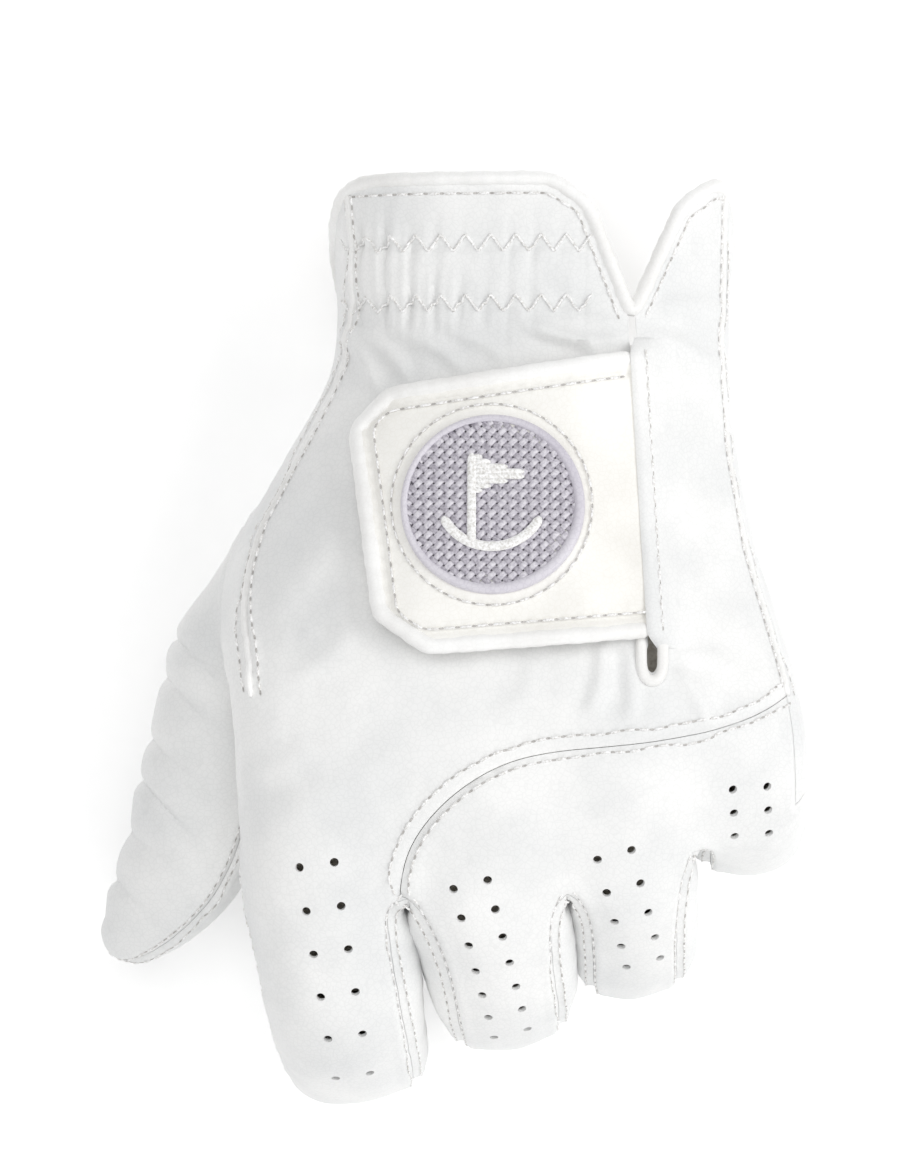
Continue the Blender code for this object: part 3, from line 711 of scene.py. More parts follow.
INNER, OUTER = "fourchette_inner", "fourchette_outer"
STALL_PANELS: dict[Digit, tuple[str, ...]] = {
    Digit.INDEX: stall_panels("back", INNER, INNER, "front"),
    Digit.MIDDLE: stall_panels(OUTER, INNER, INNER, OUTER),
    Digit.RING: stall_panels(OUTER, INNER, INNER, OUTER),
    Digit.LITTLE: stall_panels(OUTER, "back", "front", OUTER),
    Digit.THUMB: stall_panels("back", "front", "front", "back"),
}

# Neighbours that are folded from one hide, with no seam between them.
UNSEWN = (
    ("index_side_strip", "thumb_side_strip"),
    ("back_panel", "index_side_strip"),
    ("index_back", "index_side_strip"),
)


@dataclass(frozen=True)
class Fold:
    """A soft fold in the back: a line in plan, its width and its height, in millimetres."""

    x0: float
    y0: float
    x1: float
    y1: float
    width: float
    height: float

    def lift(self, x: np.ndarray, y: np.ndarray) -> np.ndarray:
        """Height that the fold adds at plan places."""
        dx, dy = self.x1 - self.x0, self.y1 - self.y0
        length = math.hypot(dx, dy)
        t = ((x - self.x0) * dx + (y - self.y0) * dy) / length**2
        off = ((x - self.x0) * -dy + (y - self.y0) * dx) / length
        bend = 0.08 * length * np.sin(np.pi * np.clip(t, 0.0, 1.0))
        body = np.exp(-(((off - bend) / self.width) ** 2))
        body -= 0.55 * np.exp(-(((off - bend) / (1.9 * self.width)) ** 2))
        ends = ease(t / 0.25 + 0.2) * ease((1.0 - t) / 0.25 + 0.2)
        return self.height * body * ends


@dataclass
class Skin:
    """The fine surface of the whole glove, with its panels, seams and folds."""

    form: HandForm
    levels: int = 4
    thickness: float = 0.8
    seam_half_gap: float = 0.07
    knuckle_line: tuple[Pair, ...] = (
        *((70.0, 6.0), (61.0, -3.0), (56.0, -8.0), (51.5, -11.0), (46.5, -13.0), (41.0, -14.6)),
        *((33.0, -15.9), (24.4, -16.8), (17.5, -17.4), (11.4, -18.5), (6.8, -20.2), (2.8, -22.6)),
        *((-1.0, -25.6), (-4.3, -29.3), (-6.9, -33.6), (-8.0, -38.5), (-8.2, -44.0), (-8.2, -60.0)),
    )
    smock_rows: Pair = (65.0, 55.2)
    smock_span: Pair = (-19.0, 23.5)
    smock_pitch: float = 4.1
    smock_reach: float = 4.2
    # Each knuckle: plan place, radius and height.
    knuckles: tuple[tuple[float, float, float, float], ...] = (
        (-20.0, -27.0, 9.0, 1.0),
        (7.0, -29.0, 8.0, 1.2),
        (29.0, -25.0, 7.5, 1.1),
        (48.0, -17.0, 7.0, 0.8),
    )
    thumb_crease_pitch: float = 7.4
    bend_crease_pitch: float = 3.4
    puff_height: float = 1.25
    # Uneven swelling of the leather: height in millimetres, waves per metre and offset.
    swells: tuple[tuple[float, float, Triple], ...] = (
        (0.5, 62.0, (0.0, 0.0, 0.0)),
        (0.2, 150.0, (5.0, 1.0, 2.0)),
        (0.07, 420.0, (0.0, 0.0, 0.0)),
    )
    folds: tuple[Fold, ...] = (
        Fold(-19.5, 52.5, -11.5, 40.0, 1.5, 2.0),
        Fold(-16.5, 51.5, -6.0, 42.0, 1.3, 1.4),
        Fold(-10.0, 51.0, 3.0, 43.5, 1.4, 1.1),
        Fold(-0.8, 51.0, 9.0, 46.0, 1.5, 0.8),
        Fold(11.7, 52.2, 25.0, 46.5, 1.6, 1.0),
        Fold(29.0, 49.5, 12.0, 51.5, 1.2, 1.3),
        Fold(28.5, 51.5, 14.0, 56.5, 1.2, 0.9),
        Fold(31.0, 50.0, 45.0, 44.0, 1.8, 1.2),
        Fold(33.0, 54.0, 46.0, 54.0, 2.0, 0.8),
        Fold(24.5, 1.0, 22.0, -12.0, 1.6, 1.4),
        Fold(28.0, -1.0, 28.5, -13.0, 1.5, 1.1),
        Fold(36.0, -4.0, 41.5, -13.5, 1.7, 1.4),
        Fold(36.0, -1.0, 50.0, -7.0, 1.7, 0.6),
        Fold(14.0, -2.0, 8.0, -13.0, 2.2, 0.5),
        Fold(-15.0, 3.0, -26.0, -6.0, 2.4, 0.7),
        Fold(-17.5, 20.0, -31.0, 4.0, 2.6, 0.6),
        Fold(-20.0, 32.0, -32.0, 16.0, 2.0, 0.5),
        Fold(-22.0, -16.0, -34.0, -22.0, 2.0, 0.5),
        Fold(-10.0, -18.0, -30.0, -28.0, 2.4, 0.5),
        Fold(40.0, 34.0, 46.5, 18.0, 2.0, 0.5),
        Fold(37.0, 24.0, 48.0, 4.0, 2.2, 0.4),
    )

    def build(self) -> None:
        """Subdivides the cage, works out the folds and keeps the surface for the pieces."""
        self._subdivide()
        self.smooth_normals = self._normals(self.rest)
        self._fit_knuckle_seam()
        self._find_seams()
        lift = self._hand_lift() + self._seam_lift() + self._digit_lift()
        lift += self._puff() + self._waves()
        self.points = self.rest + self.smooth_normals * (lift * MM)[:, None]
        self.points[:, 2] = np.maximum(self.points[:, 2], 0.0)
        self.tree = BVHTree.FromPolygons(self.points.tolist(), self.quads.tolist())

    def _subdivide(self) -> None:
        """Runs the cage through a subdivision surface and reads it back."""
        form = self.form
        self.names = sorted(set(form.tags))
        used = sorted({v for f in form.faces for v in f})
        number = {v: n for n, v in enumerate(used)}
        mesh = bpy.data.meshes.new("skin_form")
        places = [tuple((form.verts[v] + CENTRE_SHIFT) * MM) for v in used]
        mesh.from_pydata(places, [], [[number[v] for v in f] for f in form.faces])
        tag = mesh.attributes.new("panel", "INT", "FACE")
        tag.data.foreach_set("value", [self.names.index(t) for t in form.tags])
        along = mesh.attributes.new("along", "FLOAT", "POINT")
        along.data.foreach_set("value", [form.along[v] for v in used])
        obj = add_object("skin_form", mesh)
        step = obj.modifiers.new("smooth", "SUBSURF")
        step.levels = step.render_levels = self.levels
        bpy.context.view_layer.update()
        final = obj.evaluated_get(bpy.context.evaluated_depsgraph_get()).to_mesh()
        count = len(final.vertices)
        flat = np.zeros(count * 3)
        final.vertices.foreach_get("co", flat)
        self.rest = flat.reshape(-1, 3)
        self.rest[:, 2] = np.maximum(self.rest[:, 2], 0.0)
        loops = np.zeros(len(final.loops), int)
        final.loops.foreach_get("vertex_index", loops)
        self.quads = loops.reshape(-1, 4)
        self.panel = np.zeros(len(final.polygons), int)
        final.attributes["panel"].data.foreach_get("value", self.panel)
        self.distance = np.zeros(count)
        final.attributes["along"].data.foreach_get("value", self.distance)
        bpy.data.objects.remove(obj)

    def _normals(self, points: np.ndarray) -> np.ndarray:
        """Vertex normals of the surface at the given places."""
        q = self.quads
        face = np.cross(points[q[:, 2]] - points[q[:, 0]], points[q[:, 3]] - points[q[:, 1]])
        total = np.zeros_like(points)
        for k in range(4):
            np.add.at(total, q[:, k], face)
        return unit(total)

    def _fit_knuckle_seam(self) -> None:
        """Parts the back panel from the knuckle panel along one smooth curved line."""
        curve = np.array([(x * MM, y * MM, 0.0) for x, y in self.knuckle_line])
        curve = smooth_line(curve, 1.0, 10)[:, :2]
        along = unit(np.gradient(curve, axis=0))
        back, knuckle = (self.names.index(n) for n in ("back_panel", "knuckle_panel"))
        tree = KDTree(len(curve))
        for n, (x, y) in enumerate(curve):
            tree.insert((x, y, 0.0), n)
        tree.balance()
        centres = self.rest[self.quads].mean(axis=1)
        for face in np.nonzero((self.panel == back) | (self.panel == knuckle))[0]:
            x, y = centres[face, :2]
            n = tree.find((x, y, 0.0))[1]
            turn = along[n, 0] * (y - curve[n, 1]) - along[n, 1] * (x - curve[n, 0])
            self.panel[face] = knuckle if turn > 0.0 else back
        touched = [set(self.quads[self.panel == p].reshape(-1).tolist()) for p in (back, knuckle)]
        rest = (self.panel != back) & (self.panel != knuckle)
        others = set(self.quads[rest].reshape(-1).tolist())
        flat = BVHTree.FromPolygons(self.rest.tolist(), self.quads.tolist())
        for v in (touched[0] & touched[1]) - others:
            near = tree.find((self.rest[v, 0], self.rest[v, 1], 0.0))[1]
            off = self.rest[v, :2] - curve[near]
            goal = curve[near] + along[near] * off.dot(along[near])
            spot = flat.ray_cast(Vector((goal[0], goal[1], RAY_HEIGHT)), DOWN)[0]
            if spot is not None and abs(spot.z - self.rest[v, 2]) < 2.0 * MM:
                self.rest[v] = spot
        self.smooth_normals = self._normals(self.rest)

    def _find_seams(self) -> None:
        """Collects the edges between different cuts, by pair of panels."""
        q = self.quads
        a = q.reshape(-1)
        b = np.roll(q, -1, axis=1).reshape(-1)
        face = np.repeat(np.arange(len(q)), 4)
        low, high = np.minimum(a, b), np.maximum(a, b)
        order = np.lexsort((high, low))
        low, high, face = low[order], high[order], face[order]
        same = (low[1:] == low[:-1]) & (high[1:] == high[:-1])
        first = np.nonzero(same)[0]
        one, two = self.panel[face[first]], self.panel[face[first + 1]]
        self.seams: dict[tuple[str, str], list[tuple[int, int]]] = {}
        self.plain_edges: list[tuple[int, int]] = []
        for n in np.nonzero(one != two)[0]:
            pair = tuple(sorted((self.names[one[n]], self.names[two[n]])))
            if pair in UNSEWN:
                self.plain_edges.append((int(low[first[n]]), int(high[first[n]])))
                continue
            if CUT_OF_PANEL.get(pair[0], pair[0]) == CUT_OF_PANEL.get(pair[1], pair[1]):
                continue
            self.seams.setdefault(pair, []).append((int(low[first[n]]), int(high[first[n]])))
        paired = np.zeros(len(low), bool)
        paired[first] = True
        paired[first + 1] = True
        self.cuff_edges = [(int(x), int(y)) for x, y in zip(low[~paired], high[~paired])]
        rim = sorted({v for edges in self.seams.values() for e in edges for v in e})
        self.seam_tree = KDTree(len(rim))
        for v in rim:
            self.seam_tree.insert(self.rest[v], v)
        self.seam_tree.balance()

    def chain(self, *pairs: tuple[str, str]) -> np.ndarray:
        """Vertex numbers in order along the seams between pairs of panels.

        Args:
            pairs: Panel names on the two sides of the seam.

        Returns:
            Vertex numbers from one end of the longest run to the other.
        """
        edges = [e for pair in pairs for e in self.seams.get(tuple(sorted(pair)), [])]
        return self.link(edges)

    def side_line(self) -> np.ndarray:
        """Vertex numbers down the thumb side of the back, from cuff to index knuckle."""
        sewn = self.seams.get(("back_panel", "thumb_side_strip"), [])
        back = set(self.quads[self.panel == self.names.index("back_panel")].reshape(-1).tolist())
        plain = [e for e in self.plain_edges if e[0] in back and e[1] in back]
        return self.link(sewn + plain)

    @staticmethod
    def link(edges: Iterable[tuple[int, int]]) -> np.ndarray:
        """Orders edges into their longest run of vertices."""
        near: dict[int, list[int]] = {}
        for a, b in edges:
            near.setdefault(a, []).append(b)
            near.setdefault(b, []).append(a)
        left, best = set(near), []
        while left:
            ends = [v for v in left if len(near[v]) == 1]
            here = min(ends) if ends else min(left)
            run = [here]
            left.discard(here)
            while True:
                options = [v for v in near[run[-1]] if v in left]
                if not options:
                    break
                run.append(options[0])
                left.discard(options[0])
            best = run if len(run) > len(best) else best
        return np.array(best, int)

    def _hand_lift(self) -> np.ndarray:
        """Folds, smocking and knuckles over the back of the hand, in millimetres."""
        x, y = self.rest[:, 0] / MM, self.rest[:, 1] / MM
        up = ease((self.smooth_normals[:, 2] - 0.1) / 0.4) * ease((y + 46.0) / 8.0)
        total = sum(fold.lift(x, y) for fold in self.folds) * up
        drifts = [noise.noise(Vector((a * 0.12, b * 0.05, 3.1))) for a, b in zip(x, y)]
        wander = np.array(drifts)
        left, right = self.smock_span
        across = ease((x - left + 3.0) / 3.0) * ease((right - x) / 3.0)
        arch = np.abs(np.sin(np.pi * (x + 0.9 * wander - left) / self.smock_pitch))
        pucker = 1.0 - 1.9 * (1.0 - arch) ** 2
        pucker += 0.35 * np.sin(2.0 * np.pi * (x + 4.0 * wander) / 1.9)
        for row in self.smock_rows:
            off = y - row
            near = np.exp(-((off / self.smock_reach) ** 2))
            strength = 0.27 + 0.4 * ease((8.0 - x) / 24.0)
            total += up * across * near * (strength * pucker * (0.7 + wander) - 0.3)
            # The elastic's two rows draw the leather in along the needle line.
            total -= up * across * 0.55 * np.exp(-((off / 1.1) ** 2))
        for kx, ky, radius, height in self.knuckles:
            total += up * height * np.exp(-(((x - kx) ** 2 + (y - ky) ** 2) / radius**2))
        return total

    def _seam_lift(self) -> np.ndarray:
        """Leather rolls down into each seam and stands up a little beside it."""
        total = np.zeros(len(self.rest))
        for n, place in enumerate(self.rest):
            gap = self.seam_tree.find(place)[2] / MM
            if gap < 5.0:
                shoulder = 0.34 * math.exp(-((gap - 1.5) ** 2))
                total[n] = shoulder - 0.42 * math.exp(-((gap / 0.75) ** 2))
        return total

    def _digit_lift(self) -> np.ndarray:
        """Cross wrinkles on the digits, deepest inside the bends."""
        total = np.zeros(len(self.rest))
        owner = np.full(len(self.rest), -1)
        for name_index, name in enumerate(self.names):
            digit = name.split("_")[0]
            for k, d in enumerate(Digit):
                if d.value == digit and not name.startswith(("thumb_side", "index_side")):
                    owner[self.quads[self.panel == name_index].reshape(-1)] = k
        for k, digit in enumerate(Digit):
            lift = self._thumb_creases() if digit is Digit.THUMB else self._finger_creases(digit)
            total += (owner == k) * lift
        return total

    def _thumb_creases(self) -> np.ndarray:
        """Slanting creases and rolls across the outer side of the thumb, in millimetres."""
        x, y = self.rest[:, 0] / MM, self.rest[:, 1] / MM
        slant = 0.74 * y + 0.67 * (x + 45.0)
        outer = ease((-self.smooth_normals[:, 0] + 0.25) / 0.7)
        drift = 1.1 * np.sin(0.31 * slant + 0.12 * x) + 0.5 * np.sin(0.8 * slant)
        turn = np.pi * (slant + drift) / self.thumb_crease_pitch
        crease = -((1.0 - np.abs(np.sin(turn))) ** 3)
        roll = 0.5 * np.cos(2.0 * turn + np.pi)
        fine = -((1.0 - np.abs(np.sin(np.pi * (slant + 2.0 * drift) / 3.1))) ** 5)
        reach = ease((y + 51.0) / 11.0) * ease((8.0 - y) / 8.0)
        return outer * reach * (0.75 * crease + 0.5 * roll + 0.16 * fine)

    def _finger_creases(self, digit: Digit) -> np.ndarray:
        """Folds inside a finger's two bends and faint ripples on its sides, in millimetres."""
        s, z = self.distance, self.smooth_normals
        under = ease((-z[:, 2] + 0.2) / 0.8) + ease((z[:, 1] - 0.1) / 0.6)
        under = np.clip(under, 0.0, 1.0)
        total = np.zeros(len(s))
        for bend in self.form.fingers[digit].bends:
            fold = np.sin(2.0 * np.pi * (s - bend) / self.bend_crease_pitch)
            total += under * 0.55 * fold * np.exp(-(((s - bend) / 6.0) ** 2))
        side = ease((np.abs(z[:, 0]) - 0.45) / 0.4)
        ripple = np.sin(2.0 * np.pi * s / 5.3 + 1.7 * np.sin(0.4 * s) + z[:, 2] * 2.0)
        return total + side * 0.07 * ripple

    def _puff(self) -> np.ndarray:
        """Fourchettes swell between the fingers, most near the web, in millimetres."""
        total = np.zeros(len(self.rest))
        for n, name in enumerate(self.names):
            if "fourchette" not in name:
                continue
            mine = np.unique(self.quads[self.panel == n].reshape(-1))
            s = self.distance[mine]
            gap = np.array([self.seam_tree.find(p)[2] for p in self.rest[mine]]) / MM
            rise = self.puff_height * ease(gap / 4.0) * ease((34.0 - s) / 18.0)
            total[mine] = np.maximum(total[mine], rise)
        return total

    def _waves(self) -> np.ndarray:
        """Slow uneven swelling of stretched leather, in millimetres."""
        out = np.zeros(len(self.rest))
        for n, place in enumerate(self.rest):
            for height, waves, offset in self.swells:
                out[n] += height * noise.noise(Vector(place) * waves + Vector(offset))
        return out

    def panel_object(self, name: str) -> Piece:
        """One leather panel as a closed sheet: grain side, flesh side and cut edge.

        Args:
            name: Panel name.

        Returns:
            The new object, with material places 0 for the grain and 1 for the flesh side.
        """
        mine = self.quads[self.panel == self.names.index(name)]
        used, packed = np.unique(mine, return_inverse=True)
        packed = packed.reshape(-1, 4)
        a = packed.reshape(-1)
        b = np.roll(packed, -1, axis=1).reshape(-1)
        key = np.minimum(a, b) * len(used) + np.maximum(a, b)
        _, first, counts = np.unique(key, return_index=True, return_counts=True)
        rim = first[counts == 1]
        pull = self._seam_pull(used, packed, a, b, rim)
        outer = self.points[used] + pull
        inner = outer - self.smooth_normals[used] * self.thickness * MM
        inner[:, 2] = np.maximum(inner[:, 2], 0.3 * MM)
        count = len(used)
        walls = [[b[e], a[e], a[e] + count, b[e] + count] for e in rim]
        faces = packed.tolist() + (packed[:, ::-1] + count).tolist() + walls
        obj = make_mesh(name, np.vstack([outer, inner]), faces)
        grain = [0] * len(packed) + [1] * len(packed) + [0] * len(walls)
        if len(obj.data.polygons) == len(grain):
            obj.data.polygons.foreach_set("material_index", grain)
        return obj

    def _seam_pull(
        self, used: np.ndarray, packed: np.ndarray, a: np.ndarray, b: np.ndarray, rim: np.ndarray
    ) -> np.ndarray:
        """How far the rim of a panel draws back from its seams, as rows of vectors."""
        sewn = {frozenset(e) for edges in self.seams.values() for e in edges}
        sewn |= {frozenset(e) for e in self.cuff_edges}
        face_centre = self.points[used[packed]].mean(axis=1)
        pull = np.zeros((len(used), 3))
        for e in rim:
            va, vb = a[e], b[e]
            if frozenset((int(used[va]), int(used[vb]))) not in sewn:
                continue
            pa, pb = self.points[used[va]], self.points[used[vb]]
            along = unit(pb - pa)
            inward = face_centre[e // 4] - pa
            inward = unit(inward - along * inward.dot(along))
            pull[va] += inward
            pull[vb] += inward
        length = np.linalg.norm(pull, axis=1, keepdims=True)
        inward = np.where(length > 0.0, pull / np.maximum(length, 1e-9), 0.0)
        return inward * self.seam_half_gap * MM

    def top(self, x: float, y: float, lift: float = 0.0) -> np.ndarray:
        """Place on the back of the hand over a plan point, raised by a lift, all in millimetres."""
        for shift in (0.0, 0.6, 1.5, 3.0):
            hit = self.tree.ray_cast(Vector((x * MM, (y - shift) * MM, RAY_HEIGHT)), DOWN)
            if hit[0] is not None:
                return np.array((x * MM, y * MM, hit[0].z + lift * MM))
        return np.array((x * MM, y * MM, 0.045))

    def onto(self, places: np.ndarray, lift: float) -> Line:
        """Drops points to the nearest leather and raises them along its normal.

        Args:
            places: Rows of positions in metres.
            lift: Height over the leather in millimetres.

        Returns:
            Places and normals.
        """
        spots, normals = [], []
        for p in places:
            spot, normal, _, _ = self.tree.find_nearest(Vector(p))
            spots.append(np.array(spot) + np.array(normal) * lift * MM)
            normals.append(np.array(normal))
        return np.array(spots), unit(soften(np.array(normals), 3))

    def beside(self, line: np.ndarray, offset: float, lift: float) -> Line:
        """A line that runs beside another on the leather, a set distance to its left.

        Args:
            line: Rows of positions in metres.
            offset: Distance in millimetres, positive to the left of travel seen from outside.
            lift: Height over the leather in millimetres.

        Returns:
            Places and normals of the new line.
        """
        places, normals = self.onto(line, 0.0)
        normals = unit(soften(normals, 12))
        along = unit(np.gradient(places, axis=0))
        side = unit(np.cross(normals, along))
        beside, fresh = self.onto(soften(places + side * offset * MM, 10), lift)
        return soften(beside, 3), fresh


# ----------------------------------------------------------------- sewn details


def sweep(
    name: str,
    line: np.ndarray,
    normals: np.ndarray,
    size: Pair,
    closed: bool = False,
    sides: int = 14,
    swell: Callable[[float], float] | None = None,
) -> Piece:
    """Sweeps an oval along a line, with rounded ends.

    Args:
        name: Name of the piece.
        line: Rows of positions in metres.
        normals: Rows of directions that the oval's height follows.
        size: Half width and half height in millimetres.
        closed: Whether the line returns to its start.
        sides: Points round the oval.
        swell: Size factor at a distance along the line in millimetres.

    Returns:
        The new object.
    """
    ahead, behind = np.roll(line, -1, axis=0), np.roll(line, 1, axis=0)
    along = unit(ahead - behind if closed else np.gradient(line, axis=0))
    side = unit(np.cross(along, normals))
    up = unit(np.cross(side, along))
    steps = distances(line) / MM
    angles = turns(sides)
    rows = []
    for n in range(len(line)):
        grow = swell(steps[n]) if swell else 1.0
        if not closed:
            edge = min(n, len(line) - 1 - n)
            # The ends close over two and a half points, as a cut end is tucked in.
            grow *= math.sqrt(min(1.0, (edge + 0.35) / 2.5))
        ring = np.outer(np.cos(angles) * size[0] * grow, side[n])
        ring += np.outer(np.sin(angles) * size[1] * grow, up[n])
        rows.append(line[n] + ring * MM)
    return make_mesh(name, np.vstack(rows), tube_faces(len(line), sides, closed=closed), 70.0)


@dataclass(frozen=True)
class Stitching:
    """A lockstitch: stitch length, gap and thread radius in millimetres.

    The profile gives a stitch's share of length, thickness and rise at each of its rings.
    """

    length: float = 2.0
    gap: float = 0.75
    radius: float = 0.24
    sides: int = 6
    profile: tuple[Triple, ...] = (
        *((0.0, 0.35, -0.55), (0.12, 0.85, -0.1), (0.35, 1.0, 0.18)),
        *((0.65, 1.0, 0.18), (0.88, 0.85, -0.1), (1.0, 0.35, -0.55)),
    )

    def build(self, name: str, rows: Sequence[Line]) -> Piece:
        """Lays stitches along one or more lines as one piece.

        Args:
            name: Name of the piece.
            rows: Places and normals of each line.

        Returns:
            The thread mesh.
        """
        verts: list[np.ndarray] = []
        faces: list[Face] = []
        pits: list[np.ndarray] = []
        sides = self.sides
        for line, normals in rows:
            steps = distances(line) / MM
            start = 0.4
            while start + self.length < steps[-1]:
                faces += tube_faces(len(self.profile), sides, len(verts) * sides)
                for t, grow, rise in self.profile:
                    s = start + self.length * t
                    place, up, _, side = self._axes(line, normals, steps, s)
                    r = self.radius * grow
                    ring = np.outer(np.cos(turns(sides)) * r, side)
                    ring += np.outer(np.sin(turns(sides)) * r + rise * self.radius, up)
                    verts.append(place + ring * MM)
                start += self.length + self.gap
                pits.append(self._pit(line, normals, steps, start - 0.5 * self.gap))
        # Needle-hole discs take the second finish: grey painted shade between stitches.
        marks = [0] * len(faces) + [1] * len(pits)
        for pit in pits:
            base = len(verts) * sides
            verts.append(pit)
            faces.append(tuple(range(base, base + sides)))
        obj = make_mesh(name, np.vstack(verts), faces, 80.0)
        if len(obj.data.polygons) == len(marks):
            obj.data.polygons.foreach_set("material_index", marks)
        return obj

    @staticmethod
    def _axes(
        line: np.ndarray, normals: np.ndarray, steps: np.ndarray, s: float
    ) -> tuple[np.ndarray, np.ndarray, np.ndarray, np.ndarray]:
        """Place, normal, heading and side of a line at a distance along it."""

        def at(rows: np.ndarray, distance: float) -> np.ndarray:
            return np.array([np.interp(distance, steps, rows[:, k]) for k in range(3)])

        reach = 0.3
        up = unit(at(normals, s))
        along = unit(at(line, min(s + reach, steps[-1])) - at(line, max(s - reach, 0.0)))
        return at(line, s), up, along, unit(np.cross(along, up))

    def _pit(
        self, line: np.ndarray, normals: np.ndarray, steps: np.ndarray, s: float
    ) -> np.ndarray:
        """Outline of the needle hole that a stitch dives into, on the leather; its grey disc is
        painted shade.
        """
        place, up, along, side = self._axes(line, normals, steps, s)
        ring = np.outer(np.cos(turns(self.sides)) * self.gap * 0.62, along)
        ring += np.outer(-np.sin(turns(self.sides)) * self.radius * 0.85, side)
        return place + ring * MM - up * 0.02 * MM


def join(name: str, objects: Sequence[Piece]) -> Piece:
    """Joins meshes into one piece under a new name."""
    verts: list[np.ndarray] = []
    faces: list[Face] = []
    total = 0
    for obj in objects:
        flat = np.zeros(len(obj.data.vertices) * 3)
        obj.data.vertices.foreach_get("co", flat)
        verts.append(flat.reshape(-1, 3))
        faces += [tuple(v + total for v in p.vertices) for p in obj.data.polygons]
        total += len(obj.data.vertices)
        bpy.data.objects.remove(obj)
    return make_mesh(name, np.vstack(verts), faces, 70.0)


def dress(obj: Piece, *finishes: Material) -> Piece:
    """Gives a piece its finishes, keeping which face has which."""
    places = [p.material_index for p in obj.data.polygons]
    obj.data.materials.clear()
    for finish in finishes:
        obj.data.materials.append(finish)
    obj.data.polygons.foreach_set("material_index", [min(m, len(finishes) - 1) for m in places])
    return obj


def settle(
    obj: Piece,
    body: str,
    slot: str,
    *nodes: str,
    span: tuple[Sequence[float], Sequence[float]] | None = None,
) -> None:
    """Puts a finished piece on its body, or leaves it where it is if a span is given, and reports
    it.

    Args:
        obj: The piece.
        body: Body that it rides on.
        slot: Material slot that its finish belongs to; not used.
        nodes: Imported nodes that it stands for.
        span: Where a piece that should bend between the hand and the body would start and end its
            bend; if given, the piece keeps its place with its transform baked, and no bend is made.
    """
    if span:
        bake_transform(obj)
    else:
        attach(obj, body)
    if nodes:
        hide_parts(*nodes)
    LOG.info("%s: %s", body, obj.name)


def uneven(*waves: Triple) -> Callable[[float], float]:
    """Thickness of a hand-rolled edge along its length.

    Args:
        waves: Amount, radians for each millimetre and phase of each wave.

    Returns:
        A function from distance to size factor.
    """
    return lambda s: 1.0 + sum(amount * math.sin(rate * s + phase) for amount, rate, phase in waves)


def cut_out(obj: Piece, cutter: Piece) -> None:
    """Cuts a piece with another mesh and removes the cutter."""
    step = obj.modifiers.new("cut", "BOOLEAN")
    step.operation, step.solver, step.object = "DIFFERENCE", "EXACT", cutter
    bpy.context.view_layer.update()
    mesh = bpy.data.meshes.new_from_object(obj.evaluated_get(bpy.context.evaluated_depsgraph_get()))
    obj.modifiers.clear()
    obj.data = mesh
    mesh.set_sharp_from_angle(angle=math.radians(55.0))
    bpy.data.objects.remove(cutter)


# ------------------------------------------------------------------ the hand


@dataclass
class Slit:
    """The opening in the back: V notch, straight slit and oval eyelet, in plan millimetres."""

    v_left: Pair = (19.6, 77.0)
    v_foot: Pair = (29.6, 52.8)
    v_right: Pair = (41.0, 77.0)
    left_corner: tuple = ((16.8, 75.7), (19.3, 74.3), (21.0, 72.5), (21.9, 71.0))
    right_corner: tuple = ((38.4, 71.0), (39.3, 72.5), (41.0, 74.3), (43.5, 75.7))
    foot: Pair = (32.5, -2.4)
    width: float = 1.2
    eye: Pair = (2.0, 4.8)

    def x(self, y: float) -> float:
        """X of the slit at a height in plan."""
        (x0, y0), (x1, y1) = self.v_foot, self.foot
        return x0 + (x1 - x0) * (y - y0) / (y1 - y0)

    def notch_sides(self, y: float) -> Pair:
        """X of the two sides of the V notch at a height in plan."""
        t = (y - self.v_foot[1]) / (self.v_left[1] - self.v_foot[1])
        left, right = self.v_foot[0] - 0.5 * self.width, self.v_foot[0] + 0.5 * self.width
        return left + (self.v_left[0] - left) * t, right + (self.v_right[0] - right) * t

    def cutter(self) -> Piece:
        """Upright prism of the whole opening."""
        half, (eye_x, eye_y) = 0.5 * self.width, (0.5 * self.eye[0], 0.5 * self.eye[1])
        (fx, fy), (sx, sy) = self.v_foot, self.foot
        # The prism's plan reaches past the cuff edge at its two outer corners.
        plan = [(15.0, 79.0), *self.left_corner, (fx - half, fy)]
        start, end = math.acos(-half / eye_x), 2.0 * math.pi + math.acos(half / eye_x)
        for n in range(25):
            a = start + (end - start) * n / 24
            plan.append((sx + eye_x * math.cos(a), sy + eye_y * math.sin(a)))
        plan += [(fx + half, fy), *self.right_corner, (45.0, 79.0)]
        verts = [(x * MM, y * MM, z * MM) for z in (30.0, 90.0) for x, y in plan]
        return make_mesh("slit_cutter", np.array(verts), tube_faces(2, len(plan)))


